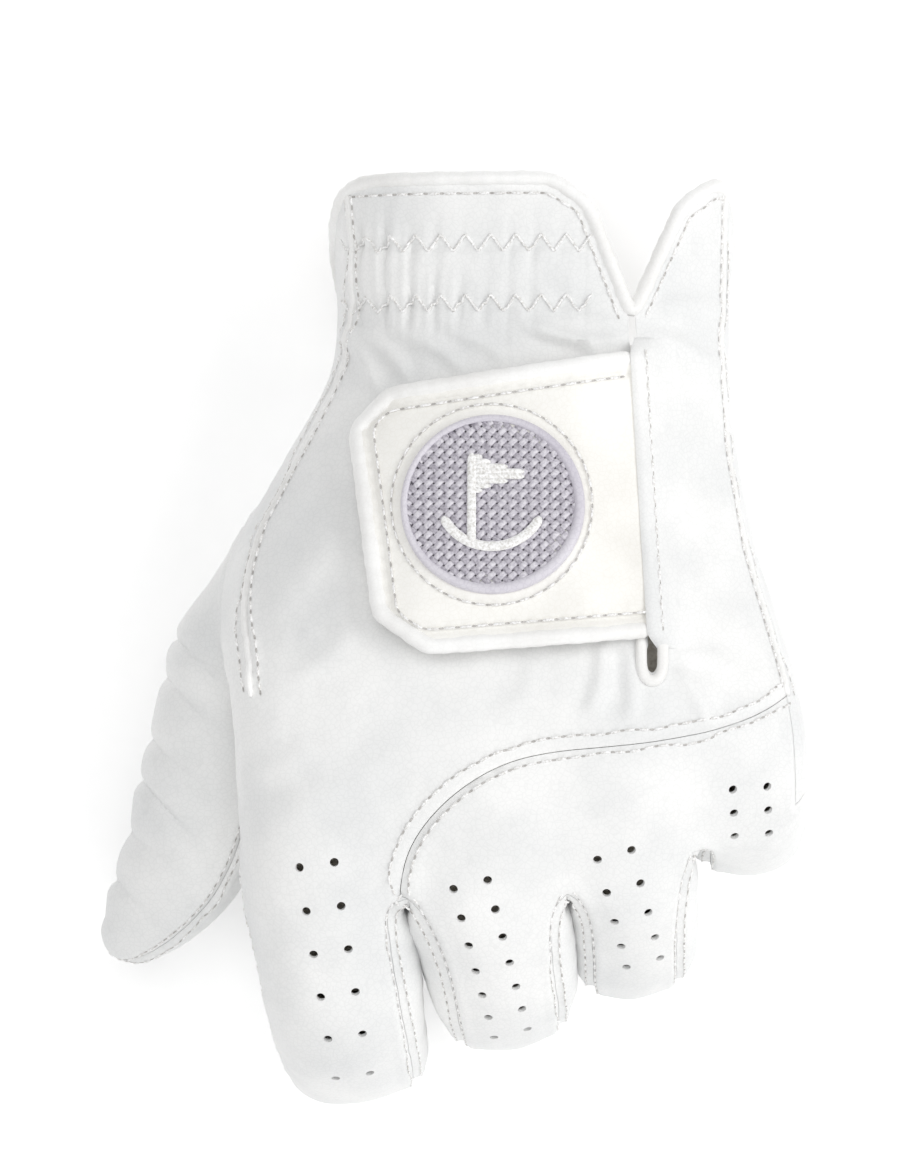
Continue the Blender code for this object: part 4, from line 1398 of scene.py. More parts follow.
@dataclass
class HandShell:
    """Leather panels of the hand with the smocked cuff, slit, seams and edgings."""

    skin: Skin
    finishes: Finishes
    slit: Slit = field(default_factory=Slit)
    panels: tuple[str, ...] = (
        *("back_panel", "knuckle_panel", "palm_panel"),
        *("thumb_side_strip", "index_side_strip"),
    )
    binding: Pair = (1.15, 1.25)
    piping: float = 0.62
    strip_span: Pair = (49.6, -1.2)
    # Section of the folded strip: distance from the slit and height over the leather.
    strip_profile: tuple[Pair, ...] = (
        *((-0.75, 2.3), (-0.85, 2.85), (-0.35, 3.2), (0.8, 3.15), (1.6, 2.65)),
        *((2.3, 2.5), (3.6, 1.45), (5.2, 0.6), (6.9, 0.1), (8.0, -0.12)),
    )
    zigzag_height: float = 1.4
    elastic_x: Pair = (-9.0, 18.0)
    elastic_y: Pair = (53.5, 67.0)

    def build(self) -> None:
        """Builds every piece that rides on the hand."""
        self._panels()
        self._cuff_edge()
        self._slit_details()
        self._smocking()
        self._seam_rows()
        self._closure_base()

    def _sew(self, name: str, stitch: Stitching, rows: Sequence[tuple], slot: str) -> None:
        """Lays stitch rows on the hand as one piece."""
        thread = stitch.build(name, rows)
        settle(dress(thread, self.finishes.thread, self.finishes.needle_hole_shade), "hand", slot)

    def _panels(self) -> None:
        """The five leather panels."""
        for name in self.panels:
            obj = self.skin.panel_object(name)
            if name == "back_panel":
                cut_out(obj, self.slit.cutter())
                cut_out(obj, HOLES[Digit.INDEX].drills(self.skin))
            if name == "knuckle_panel":
                for digit in (Digit.MIDDLE, Digit.RING, Digit.LITTLE):
                    cut_out(obj, HOLES[digit].drills(self.skin))
            obj.name = f"{name}_leather"
            settle(dress(obj, self.finishes.leather, self.finishes.suede), "hand", "leather", name)

    def _notch_line(self, inset: float, top_y: float, lift: float) -> np.ndarray:
        """Line down one side of the V notch and up the other, inside the opening by the inset."""
        slit, skin = self.slit, self.skin
        foot = slit.v_foot[1] + (inset * 1.09 - 0.6) / 0.417 + 0.15
        heights = np.linspace(top_y, foot + 0.8, 24)
        line = [skin.top(slit.notch_sides(y)[1] - inset * 1.09, y, lift) for y in heights]
        line.append(skin.top(0.5 * sum(slit.notch_sides(foot)), foot, lift))
        line += [skin.top(slit.notch_sides(y)[0] + inset * 1.09, y, lift) for y in heights[::-1]]
        return np.array(line)

    def _cuff_rim(self, outward: float, inward: float) -> np.ndarray:
        """Points round the cuff edge, moved out past it and in below the grain side."""
        skin = self.skin
        order = skin.link(skin.cuff_edges)
        p, n = skin.points[order], skin.smooth_normals[order]
        along = unit(np.roll(p, -1, axis=0) - np.roll(p, 1, axis=0))
        out = unit(np.cross(along, n))
        if out[:, 1].mean() < 0.0:
            out = -out
        return p + out * outward * MM - n * inward * MM

    def _cuff_edge(self) -> None:
        """Rolled edging round the cuff and the notch, with the stitch row under it."""
        rim = self._cuff_rim(0.35, 0.35)
        notch = self._notch_line(0.55, 71.2, -0.3)
        low, high = self.slit.left_corner[0][0] + 0.4, self.slit.right_corner[-1][0] - 0.4
        keep = np.array([p for p in rim if not (low * MM < p[0] < high * MM and p[2] > 30.0 * MM)])
        centre = rim.mean(axis=0)
        gap = math.atan2(0.02, 0.5 * (low + high) * MM - centre[0])
        turn = (np.arctan2(keep[:, 2] - centre[2], keep[:, 0] - centre[0]) - gap) % (2.0 * math.pi)
        keep = keep[np.argsort(turn)]
        line = smooth_line(np.vstack([notch, keep]), 0.8, 8, True)
        inside = line - (centre + np.array((0.0, -0.02, 0.0)))
        inside[:, 1] = 0.0
        normals = unit(inside)
        swell = uneven((0.05, 2.3, 0.0), (0.04, 0.9, 1.0))
        obj = sweep("cuff_edging", line, normals, self.binding, True, 16, swell)
        settle(dress(obj, self.finishes.edging), "hand", "binding_leather", "cuff_binding")
        back = [(x, 73.0) for x in np.arange(-17.0, 16.4, 0.8)]
        left = [(self.slit.notch_sides(y)[0] - 1.6, y) for y in np.arange(70.0, 52.0, -0.8)]
        right = [(self.slit.notch_sides(y)[1] + 1.6, y) for y in np.arange(52.6, 70.2, 0.8)]
        lobe = [(x, 72.8) for x in np.arange(43.6, 46.5, 0.8)]
        rows = [self._row(back + left), self._row(right + lobe)]
        self._sew("cuff_stitches", Stitching(), rows, "binding_leather")

    def _row(self, plan: Sequence[Pair], lift: float = 0.1) -> Line:
        """Lays a plan line on the back of the hand as a stitch row."""
        line = smooth_line([self.skin.top(x, y) for x, y in plan], 0.5, 3)
        return self.skin.onto(line, lift)

    def _slit_details(self) -> None:
        """Edge strip, bound foot of the slit, and their stitching."""
        cx, cy = self.slit.foot
        plan = [(cx - 1.75, y) for y in np.arange(4.5, cy - 0.9, -0.5)]
        below = np.linspace(math.pi, 2.0 * math.pi, 22)
        plan += [(cx + 1.75 * math.cos(a), cy - 1.0 + 2.9 * math.sin(a)) for a in below]
        plan += [(cx + 1.75, y) for y in np.arange(cy - 0.9, 1.2, 0.5)]
        line = smooth_line([self.skin.top(x, y, 0.35) for x, y in plan], 0.5, 4)
        _, normals = self.skin.onto(line, 0.0)
        obj = sweep("slit_foot_edging", line, normals, (0.95, 0.75))
        settle(dress(obj, self.finishes.edging), "hand", "binding_leather", "slit_end_binding")
        strip = self._strip()
        settle(dress(strip, self.finishes.leather), "hand", "binding_leather", "slit_edge_strip")
        rows = [self._strip_row(1.95, 48.0, 0.8)]
        self._sew("slit_strip_stitches", Stitching(1.9, 0.7), rows, "binding_leather")

    def _strip_row(self, offset: float, top_y: float, foot_y: float) -> Line:
        """A stitch row on the slit strip, a set distance from the slit."""
        ys = np.arange(top_y, foot_y, -0.6)
        line = np.array([self.skin.top(self.slit.x(y) + offset, y, 2.6) for y in ys])
        line = soften(line, 4)
        _, normals = self.skin.onto(line, 0.0)
        return line, normals

    def _strip(self) -> Piece:
        """Folded leather strip along the little finger side of the slit."""
        top_y, foot_y = self.strip_span
        rows = []
        for y in np.arange(top_y, foot_y - 0.1, -0.5):
            ends = 0.05 + 0.95 * smoothstep(min(top_y - y, y - foot_y) / 2.6)
            tuck = 1.7 * smoothstep((1.6 - y) / 3.0) + 0.9 * smoothstep((y - 47.6) / 1.6)
            x = self.slit.x(y)
            places = [(x + max(w, w * 0.8 + tuck), h * ends) for w, h in self.strip_profile]
            rows.append([self.skin.top(px, y, lift) for px, lift in places])
        grid = np.array(rows)
        for k in range(grid.shape[1]):
            grid[:, k] = soften(grid[:, k], 3)
        under = grid[:, [0, -1]] - np.array((0.0, 0.0, 0.5 * MM))
        ring = np.concatenate([grid, under[:, ::-1]], axis=1)
        faces = tube_faces(*ring.shape[:2], inward=True)
        return make_mesh("slit_strip", ring.reshape(-1, 3), faces, 60.0)

    def _smocking(self) -> None:
        """Two zigzag rows over the wrist elastic, and the elastic itself."""
        skin = self.skin
        runs = []
        for row in skin.smock_rows:
            plan, x, side = [], skin.smock_span[0] + 0.25 * skin.smock_pitch, 1.0
            while x < skin.smock_span[1]:
                plan.append((x, row + self.zigzag_height * side))
                x += 0.5 * skin.smock_pitch
                side = -side
            line = resample(np.array([skin.top(px, py) for px, py in plan]), 0.35 * MM)
            places, normals = skin.onto(line, 0.12)
            runs.append(sweep("zigzag_run", places, normals, (0.24, 0.2), False, 6))
        obj = join("smocking_zigzag", runs)
        settle(dress(obj, self.finishes.thread), "hand", "binding_leather")
        self._elastic()

    def _elastic(self) -> None:
        """Flat ribbed elastic inside the wrist."""
        rows, columns = 40, 90
        grid, below = [], []
        for r, y in enumerate(np.linspace(*self.elastic_y, rows + 1)):
            rib = 0.12 * math.sin(2.0 * math.pi * r / 5.0)
            for x in np.linspace(*self.elastic_x, columns + 1):
                grid.append(self.skin.top(x, y, -2.1 + rib))
                below.append(self.skin.top(x, y, -2.7 - rib))
        obj = plate("elastic_band", np.array(grid), np.array(below), rows + 1, columns + 1)
        settle(dress(obj, self.finishes.elastic), "hand", "elastic_fabric", "wrist_elastic")

    def _seam_rows(self) -> None:
        """Top stitching beside the seams of the hand, and the two pipings."""
        skin = self.skin
        knuckle = skin.chain(("back_panel", "knuckle_panel"), ("index_back", "knuckle_panel"))
        line = smooth_line(skin.points[knuckle], 0.5, 6)
        rows = [skin.beside(line, d, 0.1) for d in (-1.3, 2.2)]
        self._sew("knuckle_seam_stitches", Stitching(1.7, 0.7), rows, "leather")
        side = skin.points[skin.side_line()]
        side = side[side[:, 1] > -9.0 * MM]
        outer = skin.points[skin.chain(("back_panel", "palm_panel"))]
        pipings = (
            ("thumb_seam_piping", side, "thumb_piping"),
            ("outseam_piping_cord", outer, "outseam_piping"),
        )
        for name, line, node in pipings:
            path = smooth_line(line, 0.6, 6)
            places, normals = skin.onto(path, 0.35)
            size, swell = (self.piping, self.piping), uneven((0.06, 2.6, 0.0))
            obj = sweep(name, soften(places, 3), normals, size, False, 12, swell)
            settle(dress(obj, self.finishes.edging), "hand", "binding_leather", node)
        path = smooth_line(side, 0.5, 6)
        rows = [skin.beside(path, d, 0.1) for d in (-1.7, 1.7)]
        path = smooth_line(outer, 0.5, 6)
        rows += [skin.beside(path, d, 0.1) for d in (1.6, -1.6)]
        self._sew("side_seam_stitches", Stitching(1.6, 0.8), rows, "leather")

    def _closure_base(self) -> None:
        """Loop pad on the back, under the tab."""
        obj = tab_plate(self.skin, "loop_pad_nap", 5.5, (0.0, 0.62), (0.3, 1.4), 90, flat=True)
        rough_up(obj, 0.22, 1900.0)
        settle(dress(obj, self.finishes.loops), "hand", "loop_fabric", "loop_pad")


# ------------------------------------------------------------------ closure tab


@dataclass(frozen=True)
class TabOutline:
    """Plan outline of the closure tab and how its layers rise from the root, in millimetres."""

    top_line: tuple = ((-16.6, 40.2), (28.9, 47.2))
    foot_line: tuple = ((-16.6, -2.6), (31.3, 0.9))
    left: tuple = ((0.0, -3.2), (0.16, -12.4), (0.86, -16.4), (1.0, -9.6))
    root_x: Pair = (31.0, 28.6)
    rise: float = 12.0
    root_lift: float = 0.7
    base_lift: float = 3.1
    tuck: float = 1.7

    @staticmethod
    def line_y(line: tuple, x: float) -> float:
        """Y of a plan line at an X."""
        (x0, y0), (x1, y1) = line
        return y0 + (y1 - y0) * (x - x0) / (x1 - x0)

    def left_x(self, v: float) -> float:
        """X of the free end at a share of the tab's height."""
        for (v0, x0), (v1, x1) in zip(self.left, self.left[1:]):
            if v <= v1:
                return x0 + (x1 - x0) * (v - v0) / (v1 - v0)
        return self.left[-1][1]

    def plan(self, u: float, v: float, inset: float) -> Triple:
        """Plan place on the tab: u from free end to root, v from foot to top; and the root's X."""
        root = self.root_x[0] + (self.root_x[1] - self.root_x[0]) * v + self.tuck
        low, high = inset / 45.0, 1.0 - inset / 45.0
        w = low + (high - low) * v
        x = self.left_x(w) + inset + (root - self.left_x(w) - inset) * u
        y = self.line_y(self.foot_line, x) * (1.0 - w) + self.line_y(self.top_line, x) * w
        return x, y, root

    def lift(self, x: float, root: float, height: float) -> float:
        """Height of a layer over the leather, lower near the root."""
        t = smoothstep((root - x) / self.rise)
        low = self.root_lift + (height - self.base_lift)
        return low + (height - low) * t


OUTLINE = TabOutline()


def plate(name: str, high: np.ndarray, low: np.ndarray, rows: int, columns: int) -> Piece:
    """Closes an upper and a lower grid of points into one solid."""
    count = rows * columns
    faces: list[Face] = []
    for r in range(rows - 1):
        for c in range(columns - 1):
            a = r * columns + c
            faces.append((a, a + 1, a + columns + 1, a + columns))
            faces.append((a + columns + count, a + columns + 1 + count, a + 1 + count, a + count))
    grid = np.arange(count).reshape(rows, columns)
    rim = np.concatenate([grid[0], grid[1:, -1], grid[-1, -2::-1], grid[-2:0:-1, 0]])
    for n, a in enumerate(rim):
        b = rim[(n + 1) % len(rim)]
        faces.append((b, a, a + count, b + count))
    return make_mesh(name, np.vstack([high, low]), faces, 50.0)


def tab_plate(
    skin: Skin,
    name: str,
    inset: float,
    span: Pair,
    lifts: Pair,
    cells: int,
    flat: bool = False,
    crown: Callable[[float, float], float] | None = None,
) -> Piece:
    """A layer of the tab that follows the back of the hand.

    Args:
        skin: The glove's surface.
        name: Name of the piece.
        inset: Distance inside the tab's outline in millimetres.
        span: Shares of the tab's length that the layer covers.
        lifts: Heights of the layer's two faces in millimetres.
        cells: Grid cells along each side.
        flat: Whether the layer keeps its height up to the root.
        crown: Extra height at u and v.

    Returns:
        The new object.
    """
    vs = sorted(set(np.linspace(0.0, 1.0, cells + 1)) | {0.16, 0.86})
    us = np.linspace(span[0], span[1], cells + 1)
    high, low = [], []
    for v in vs:
        for u in us:
            x, y, root = OUTLINE.plan(u, v, inset)
            bottom, top = lifts
            if not flat:
                bottom, top = OUTLINE.lift(x, root, bottom), OUTLINE.lift(x, root, top)
            extra = crown(u, v) if crown else 0.0
            base = smooth_height(skin, x, y)
            high.append((x * MM, y * MM, base + (top + extra) * MM))
            low.append((x * MM, y * MM, base + bottom * MM))
    return plate(name, np.array(high), np.array(low), len(vs), len(us))


def smooth_height(skin: Skin, x: float, y: float) -> float:
    """Height of the back in metres, averaged so that small folds under the tab don't show."""
    total = 0.0
    for dx, dy in ((0.0, 0.0), (2.5, 0.0), (-2.5, 0.0), (0.0, 2.5), (0.0, -2.5)):
        total += skin.top(x + dx, y + dy)[2]
    return total / 5.0


def rough_up(obj: Piece, height: float, scale: float) -> None:
    """Breaks up a surface with small tufts."""
    for v in obj.data.vertices:
        v.co.z += height * MM * noise.noise(v.co * scale)


@dataclass
class ClosureTab:
    """Leather tab with rolled edge, hook pad, round woven badge and its rim."""

    skin: Skin
    finishes: Finishes
    badge_centre: Pair = (6.7, 22.3)
    badge_radius: float = 13.7
    rim_radius: float = 14.1
    yarn_pitch: float = 1.2
    # Section of a flat yarn: share of its half width, and rise in millimetres.
    yarn_section: tuple = ((-1.0, -0.1), (-0.5, 0.06), (0.5, 0.06), (1.0, -0.1), (0.0, -0.22))
    # Where the leather would start and stop bending at the tab's root, in metres.
    root_span: tuple = ((0.0300, 0.0, 0.0), (0.0240, 0.0, 0.0))

    def build(self) -> None:
        """Builds every piece of the tab."""
        self._leather()
        self._edge()
        self._hooks()
        self._badge()

    def _bend(self, obj: Piece, slot: str, *nodes: str) -> None:
        """Settles a piece that should bend between the hand and the tab at the root; it keeps its
        place and is not bent.
        """
        settle(obj, "tab", slot, *nodes, span=self.root_span)

    @staticmethod
    def _crown(u: float, v: float) -> float:
        """Soft cushion of the tab leather, drawn down by the stitching near its edge."""
        edge = min(u * 44.0 + 0.4, v * 42.0, (1.0 - v) * 42.0)
        groove = -0.45 * math.exp(-(((edge - 2.2) / 0.55) ** 2))
        puff = 0.22 * smoothstep((edge - 2.5) / 5.0)
        ripple = 0.1 * noise.noise(Vector((u * 9.0, v * 8.0, 1.5)))
        return groove + puff + ripple

    def _leather(self) -> None:
        """Top leather and lining."""
        span, lifts = (0.0, 1.0), (4.0, 4.75)
        top = tab_plate(self.skin, "tab_top_leather", 1.2, span, lifts, 110, crown=self._crown)
        self._bend(dress(top, self.finishes.tab), "leather", "tab_top")
        lining = tab_plate(self.skin, "tab_lining_leather", 1.4, (0.0, 0.985), (3.1, 3.9), 40)
        self._bend(dress(lining, self.finishes.suede), "leather", "tab_lining")

    def _edge_line(self, inset: float, height: float) -> Line:
        """Line round the tab at an inset and a layer height, with its normals."""
        shares = [(u, 0.0) for u in np.linspace(0.985, 0.0, 60)]
        shares += [(0.0, v) for v in np.linspace(0.0, 1.0, 80)]
        shares += [(u, 1.0) for u in np.linspace(0.0, 0.985, 60)]
        line = []
        for u, v in shares:
            x, y, root = OUTLINE.plan(u, v, inset)
            z = smooth_height(self.skin, x, y) + OUTLINE.lift(x, root, height) * MM
            line.append((x * MM, y * MM, z))
        line = smooth_line(line, 0.6, 5)
        _, normals = self.skin.onto(line, 0.0)
        return line, unit(soften(normals, 6))

    def _edge(self) -> None:
        """Rolled edge and its stitch row."""
        line, normals = self._edge_line(1.15, 4.15)
        swell = uneven((0.035, 2.1, 0.0), (0.03, 0.7, 0.0))
        obj = sweep("tab_edging", line, normals, (1.4, 0.95), False, 16, swell)
        self._bend(dress(obj, self.finishes.edging), "binding_leather", "tab_binding")
        thread = Stitching(1.9, 0.75, 0.23).build("tab_stitches", [self._edge_line(3.9, 4.95)])
        self._bend(dress(thread, self.finishes.thread, self.finishes.needle_hole_shade), "leather")

    def _hooks(self) -> None:
        """Hook pad under the tab, with rows of small hooks."""
        obj = tab_plate(self.skin, "hook_pad_tape", 5.5, (0.0, 0.62), (1.9, 3.0), 60, flat=True)
        for v in obj.data.vertices:
            v.co.z += 0.14 * MM * math.sin(v.co.x / MM * 5.0) * math.sin(v.co.y / MM * 5.0)
        settle(dress(obj, self.finishes.hooks), "tab", "hook_plastic", "hook_pad")

    def _badge_axes(self) -> tuple[np.ndarray, np.ndarray, np.ndarray, np.ndarray]:
        """Centre and axes of the badge plane."""
        x, y = self.badge_centre
        reach = 9.0

        def spot(px: float, py: float) -> np.ndarray:
            root = OUTLINE.root_x[0]
            height = smooth_height(self.skin, px, py) + OUTLINE.lift(px, root, 5.2) * MM
            return np.array((px * MM, py * MM, height))

        east = spot(x + reach, y) - spot(x - reach, y)
        north = spot(x, y + reach) - spot(x, y - reach)
        normal = unit(np.cross(east, north))
        east = unit(east - normal * east.dot(normal))
        return spot(x, y), east, np.cross(normal, east), normal

    def _place(self, local: np.ndarray) -> np.ndarray:
        """Turns badge coordinates in millimetres into places that droop with the tab's sides."""
        centre, east, north, normal = self._badge_axes()
        across = local[:, 0]
        out = centre + local[:, :1] * MM * east + local[:, 1:2] * MM * north
        droop = -np.where(across > 0.0, 0.006, 0.0045) * across**2
        return out + (local[:, 2:3] + droop[:, None]) * MM * normal

    def _badge(self) -> None:
        """Woven disc, backing, raised rim and the plain motif."""
        done, kit = [], self.finishes
        for dark, yarn in ((False, kit.weave_light), (True, kit.weave_dark)):
            nodes = () if dark else ("badge_disc",)
            done.append((dress(self._yarns(dark), yarn), "badge_weave", nodes))
        done.append((dress(self._backing(), kit.backing), "badge_weave", ()))
        done.append((dress(self._rim(), kit.rim), "badge_rim", ("badge_rim",)))
        row = self._round_row(self.rim_radius + 2.1)
        thread = Stitching(1.7, 0.7, 0.22).build("badge_stitches", [row])
        done.append((dress(thread, kit.thread, kit.needle_hole_shade), "leather", ()))
        done.append((dress(self._motif(), kit.thread), "badge_rim", ("badge_motif",)))
        for obj, slot, nodes in done:
            settle(obj, "tab", slot, *nodes)

    def _circle(self, radius: float, height: float) -> Line:
        """A circle on the badge plane with its normals."""
        a = np.linspace(0.0, 2.0 * np.pi, 181)
        local = np.column_stack([radius * np.cos(a), radius * np.sin(a), np.full(len(a), height)])
        normal = self._badge_axes()[3]
        return self._place(local), np.tile(normal, (len(a), 1))

    def _round_row(self, radius: float) -> Line:
        """A circle laid on the curved tab leather round the badge."""
        cx, cy = self.badge_centre
        line = []
        for a in np.linspace(0.0, 2.0 * np.pi, 181):
            x, y = cx + radius * math.cos(a), cy + radius * math.sin(a)
            lift = OUTLINE.lift(x, OUTLINE.root_x[0] + OUTLINE.tuck, 4.75) + 0.42
            line.append((x * MM, y * MM, smooth_height(self.skin, x, y) + lift * MM))
        line = np.array(line)
        _, normals = self.skin.onto(line, 0.0)
        return line, unit(soften(normals, 8))

    def _rim(self) -> Piece:
        """Raised rim of the badge, fuller on its lower little finger side."""
        line, normals = self._circle(self.rim_radius, 0.55)
        swell = uneven((0.28, 1.0 / self.rim_radius, math.radians(130.0)))
        return sweep("badge_raised_rim", line[:-1], normals[:-1], (0.72, 0.6), True, 16, swell)

    def _backing(self) -> Piece:
        """Cloth behind the yarns, dark as painted shade in the gaps between them."""
        rings, sides = 10, 72
        local, faces = [(0.0, 0.0, 0.25)], []
        for r in range(1, rings + 1):
            for k in range(sides):
                a = 2.0 * math.pi * k / sides
                radius = self.badge_radius * r / rings
                local.append((radius * math.cos(a), radius * math.sin(a), 0.25))
        count = len(local)
        local += [(x, y, -0.35) for x, y, _ in local]
        for k in range(sides):
            j = (k + 1) % sides
            faces += [(0, 1 + k, 1 + j), (count, count + 1 + j, count + 1 + k)]
            for r in range(rings - 1):
                a, b = 1 + r * sides, 1 + (r + 1) * sides
                faces.append((a + k, b + k, b + j, a + j))
                faces.append((count + a + j, count + b + j, count + b + k, count + a + k))
            edge = 1 + (rings - 1) * sides
            faces.append((edge + k, count + edge + k, count + edge + j, edge + j))
        return make_mesh("badge_backing", self._place(np.array(local)), faces)

    def _yarns(self, dark: bool) -> Piece:
        """One set of flat yarns of the diagonal basket weave.

        Args:
            dark: Whether to lay the dark set, which crosses the light one.

        Returns:
            All yarns of the set as one mesh.
        """
        turn = math.radians(-45.0 if dark else 45.0)
        pitch, radius = self.yarn_pitch, self.badge_radius - 0.1
        half = 0.38 * pitch
        verts: list[Triple] = []
        faces: list[Face] = []
        lanes = int(radius / pitch)
        for lane in range(-lanes, lanes + 1):
            off = lane * pitch
            reach = math.sqrt(max(0.0, radius**2 - off**2))
            if reach < pitch:
                continue
            places = np.arange(-reach, reach + 0.01, pitch / 4.0)
            base = len(verts)
            for s in places:
                wave = math.cos(math.pi * s / pitch) * (1.0 if (lane % 2 == 0) != dark else -1.0)
                height = 0.55 + 0.2 * wave
                for share, drop in self.yarn_section:
                    side = off + share * half
                    x = s * math.cos(turn) - side * math.sin(turn)
                    y = s * math.sin(turn) + side * math.cos(turn)
                    verts.append((x, y, height + drop))
            faces += tube_faces(len(places), len(self.yarn_section), base, inward=True)
        name = "badge_yarns_dark" if dark else "badge_yarns_light"
        return make_mesh(name, self._place(np.array(verts)), faces, 80.0)

    def _motif(self) -> Piece:
        """A plain pennant on its pole over a curved green, embroidered in thread."""
        arc = np.radians(np.linspace(205.0, 335.0, 40))
        ground = np.column_stack([8.6 * np.cos(arc), 8.6 * np.sin(arc) + 1.4, np.full(40, 0.95)])
        pole = np.array([(-3.2, -7.0, 1.0), (-3.2, 8.2, 1.0)])
        strokes = [(ground, 0.8), (pole, 0.72)]
        for k in range(8):
            y = 7.7 - 0.8 * k
            reach = max(1.5, 9.6 - 1.35 * abs(2.0 * k - 7.0))
            strokes.append((np.array([(-3.0, y, 0.95), (-3.0 + reach, y - 0.15, 0.95)]), 0.5))
        parts = []
        normal = self._badge_axes()[3]
        for stroke, half in strokes:
            line = resample(self._place(stroke), 0.4 * MM)
            up = np.tile(normal, (len(line), 1))
            parts.append(sweep("stroke", line, up, (half, 0.3), False, 8))
        return join("badge_plain_motif", parts)


# --------------------------------------------------------------------- digits


@dataclass(frozen=True)
class AirHoles:
    """Two columns of air holes down the back of a finger.

    The start and spacings are in plan millimetres; the rows close up as the finger turns down.
    """

    start: Pair
    yaw: float
    rows: int
    pitch: float
    closing: float
    apart: float = 5.7
    radius: float = 0.72
    sides: int = 18
    depths: Pair = (1.4, -2.2)

    def places(self, skin: Skin) -> list[Line]:
        """Where the holes come out of the leather, with the normals there."""
        ahead = np.array((math.sin(math.radians(self.yaw)), -math.cos(math.radians(self.yaw))))
        side = np.array((-ahead[1], ahead[0]))
        out, reach = [], 0.0
        for row in range(self.rows):
            for sign in (-0.5, 0.5):
                x, y = np.array(self.start) + ahead * reach + side * sign * self.apart
                spot, normal, _, _ = skin.tree.ray_cast(Vector((x * MM, y * MM, RAY_HEIGHT)), DOWN)
                if spot is not None and normal.z > 0.12:
                    out.append((np.array(spot), np.array(normal)))
            reach += self.pitch * (1.0 - self.closing * row)
        return out

    def drills(self, skin: Skin) -> Piece:
        """Short rods that cut the holes."""
        verts: list[np.ndarray] = []
        faces: list[Face] = []
        angles = turns(self.sides)
        for spot, normal in self.places(skin):
            side = unit(np.cross(normal, (0.0, 1.0, 0.3)))
            ahead = np.cross(side, normal)
            faces += tube_faces(2, self.sides, len(verts) * self.sides, inward=True)
            for depth in self.depths:
                ring = np.outer(np.cos(angles), side) + np.outer(np.sin(angles), ahead)
                verts.append(spot + ring * self.radius * MM + normal * depth * MM)
        drills = make_mesh("air_hole_drills", np.vstack(verts), faces)
        mesh = bmesh.new()
        mesh.from_mesh(drills.data)
        bmesh.ops.recalc_face_normals(mesh, faces=mesh.faces)
        mesh.to_mesh(drills.data)
        mesh.free()
        return drills


@dataclass
class Stall:
    """One finger or thumb of the glove: its panels, seams, stitching and air holes."""

    skin: Skin
    finishes: Finishes
    digit: Digit
    holes: AirHoles | None = None
    thumb_span: tuple = ((-36.0, 1.0, 18.0), (-39.5, -14.0, 17.0))
    bend_start: float = 5.5
    bend_length: float = 11.0

    def build(self) -> None:
        """Builds the panels with their air holes, and the stitching beside their seams."""
        name = self.digit.value
        panels = [n for n in self.skin.names if n.startswith(name + "_") and "side_strip" not in n]
        for panel in panels:
            obj = self.skin.panel_object(panel)
            if panel.endswith("_back") and self.holes:
                cut_out(obj, self.holes.drills(self.skin))
            obj.name = f"{panel}_leather"
            nodes = [panel] + ([f"{name}_root_crease"] if panel.endswith("_back") else [])
            self._bend(dress(obj, self.finishes.leather, self.finishes.suede), *nodes)
        self._stitches(panels)

    def _bend(self, obj: Piece, *nodes: str) -> None:
        """Settles a piece that should bend between the hand and this digit at its root; it keeps
        its place and is not bent.
        """
        settle(obj, self.digit.value, "leather", *nodes, span=self._root_span())

    def _root_span(self) -> tuple[Vector, Vector]:
        """Where the stall would start and stop bending, in metres."""
        if self.digit is Digit.THUMB:
            return tuple(Vector(place) * MM for place in self.thumb_span)
        form = self.skin.form
        _, place, heading, _ = form.path(form.fingers[self.digit])[0]
        start = (place + heading * self.bend_start + CENTRE_SHIFT) * MM
        return start, start + heading * self.bend_length * MM

    def _stitches(self, panels: list[str]) -> None:
        """Rows beside the seams that run along the digit."""
        rows = []
        for pair in self.skin.seams:
            if not all(p in panels for p in pair):
                continue
            chain = self.skin.chain(pair)
            if len(chain) < 20:
                continue
            line = smooth_line(self.skin.points[chain], 0.5, 6)
            back = any(p.endswith("_back") for p in pair)
            offsets = (-1.35, 1.35) if back else (1.35,)
            rows += [self.skin.beside(line, d, 0.08) for d in offsets]
        if rows:
            thread = Stitching(1.4, 0.8, 0.2).build(f"{self.digit.value}_stitches", rows)
            self._bend(dress(thread, self.finishes.thread, self.finishes.needle_hole_shade))


HOLES: dict[Digit, AirHoles] = {
    Digit.INDEX: AirHoles((-21.4, -35.7), 8.7, 6, 7.2, 0.0),
    Digit.MIDDLE: AirHoles((3.3, -38.9), 14.7, 7, 4.95, 0.045),
    Digit.RING: AirHoles((26.5, -34.2), 15.7, 5, 5.7, 0.11),
    Digit.LITTLE: AirHoles((48.6, -23.6), 4.0, 3, 3.9, 0.0),
}


# ---------------------------------------------------------------------- studio


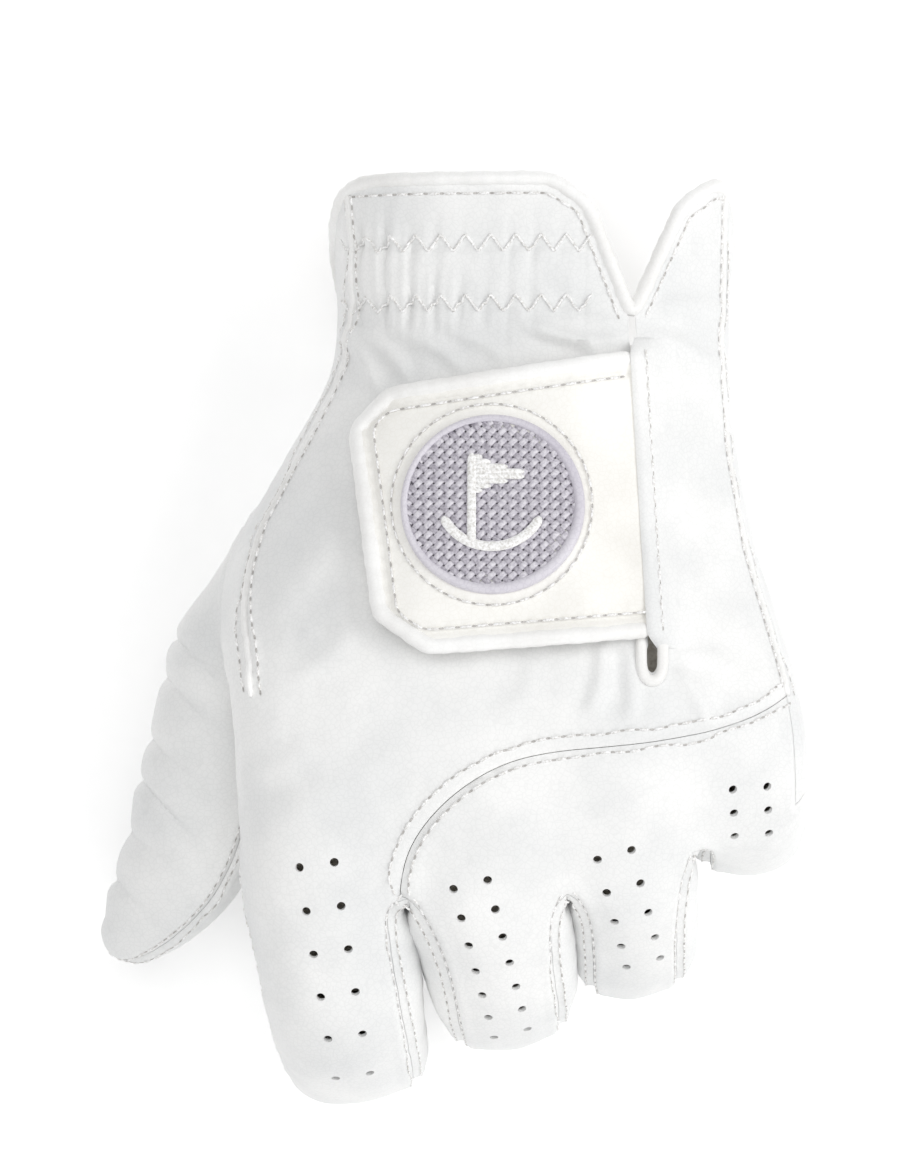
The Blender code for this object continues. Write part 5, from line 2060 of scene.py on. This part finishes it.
@dataclass
class Studio:
    """Pale floor, soft lights and the camera over the glove, in metres and watts."""

    floor_size: float = 3.0
    floor_z: float = -0.0004
    floor_glow: float = 0.2
    sky_strength: float = 0.47
    # Name, place, size and power of each square light.
    lights: tuple = (
        ("key_light", (0.75, 0.12, 0.66), 0.65, 3.7),
        ("front_light", (0.1, -0.8, 0.65), 0.6, 2.3),
        ("top_light", (-0.2, 0.3, 1.1), 0.8, 3.5),
    )
    aim: Triple = (0.0, 0.0, 0.03)
    sensor_mm: float = 36.0
    glove_height: float = 0.045
    camera_height: float = 0.92
    framed_height: float = 0.1915
    look_y: float = 0.0088

    def build(self) -> None:
        """Sets up the floor, the lights, the world and the camera."""
        self._floor()
        self._world()
        for name, place, size, power in self.lights:
            self._area(name, place, size, power)
        self._camera()

    def _floor(self) -> None:
        """A plain pale sweep under the glove."""
        half, plan = 0.5 * self.floor_size, ((-1, -1), (1, -1), (1, 1), (-1, 1))
        corners = [(x * half, y * half, self.floor_z) for x, y in plan]
        floor = make_mesh("studio_floor", np.array(corners), [(0, 1, 2, 3)])
        mat, tree, shader, place = start_material("studio_paper")
        grain = add_node(tree, "ShaderNodeTexNoise", {"Scale": 300.0}, {"Vector": place})
        colour = ramp(tree, grain.outputs["Fac"], ((0.3, srgb("FDFDFD")), (0.7, srgb("FFFFFF"))))
        tree.links.new(colour, shader.inputs["Base Color"])
        shader.inputs["Roughness"].default_value = 0.9
        # A little glow keeps the sweep white to its edges.
        shader.inputs["Emission Color"].default_value = WHITE
        shader.inputs["Emission Strength"].default_value = self.floor_glow
        floor.data.materials.append(mat)

    def _world(self) -> None:
        """Even white surroundings."""
        world = bpy.data.worlds.new("studio_world")
        world.use_nodes = True
        sky = world.node_tree.nodes["Background"]
        sky.inputs["Color"].default_value = WHITE
        sky.inputs["Strength"].default_value = self.sky_strength
        bpy.context.scene.world = world

    def _area(self, name: str, place: Triple, size: float, power: float) -> None:
        """A square soft light aimed at the glove."""
        light = bpy.data.lights.new(name, "AREA")
        light.size = size
        light.energy = power
        obj = add_object(name, light)
        obj.location = place
        aim = Vector(self.aim) - Vector(place)
        obj.rotation_euler = aim.to_track_quat("-Z", "Y").to_euler()

    def _camera(self) -> None:
        """A long lens straight above the glove, with the cuff at the top."""
        data = bpy.data.cameras.new("camera")
        data.sensor_width = self.sensor_mm
        data.lens = self.sensor_mm * (self.camera_height - self.glove_height) / self.framed_height
        obj = add_object("camera", data)
        obj.location = (0.0, self.look_y, self.camera_height)
        bpy.context.scene.camera = obj
        bpy.context.scene.view_settings.view_transform = "Standard"


def main() -> None:
    """Builds the glove in order."""
    logging.basicConfig(level=logging.INFO, format="%(name)s: %(message)s")
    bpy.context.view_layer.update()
    finishes = Finishes()
    form = HandForm()
    form.build()
    skin = Skin(form)
    skin.build()
    HandShell(skin, finishes).build()
    ClosureTab(skin, finishes).build()
    for digit in Digit:
        Stall(skin, finishes, digit, HOLES.get(digit)).build()
    Studio().build()
    LOG.info("sizes written")


if __name__ == "__main__":
    main()
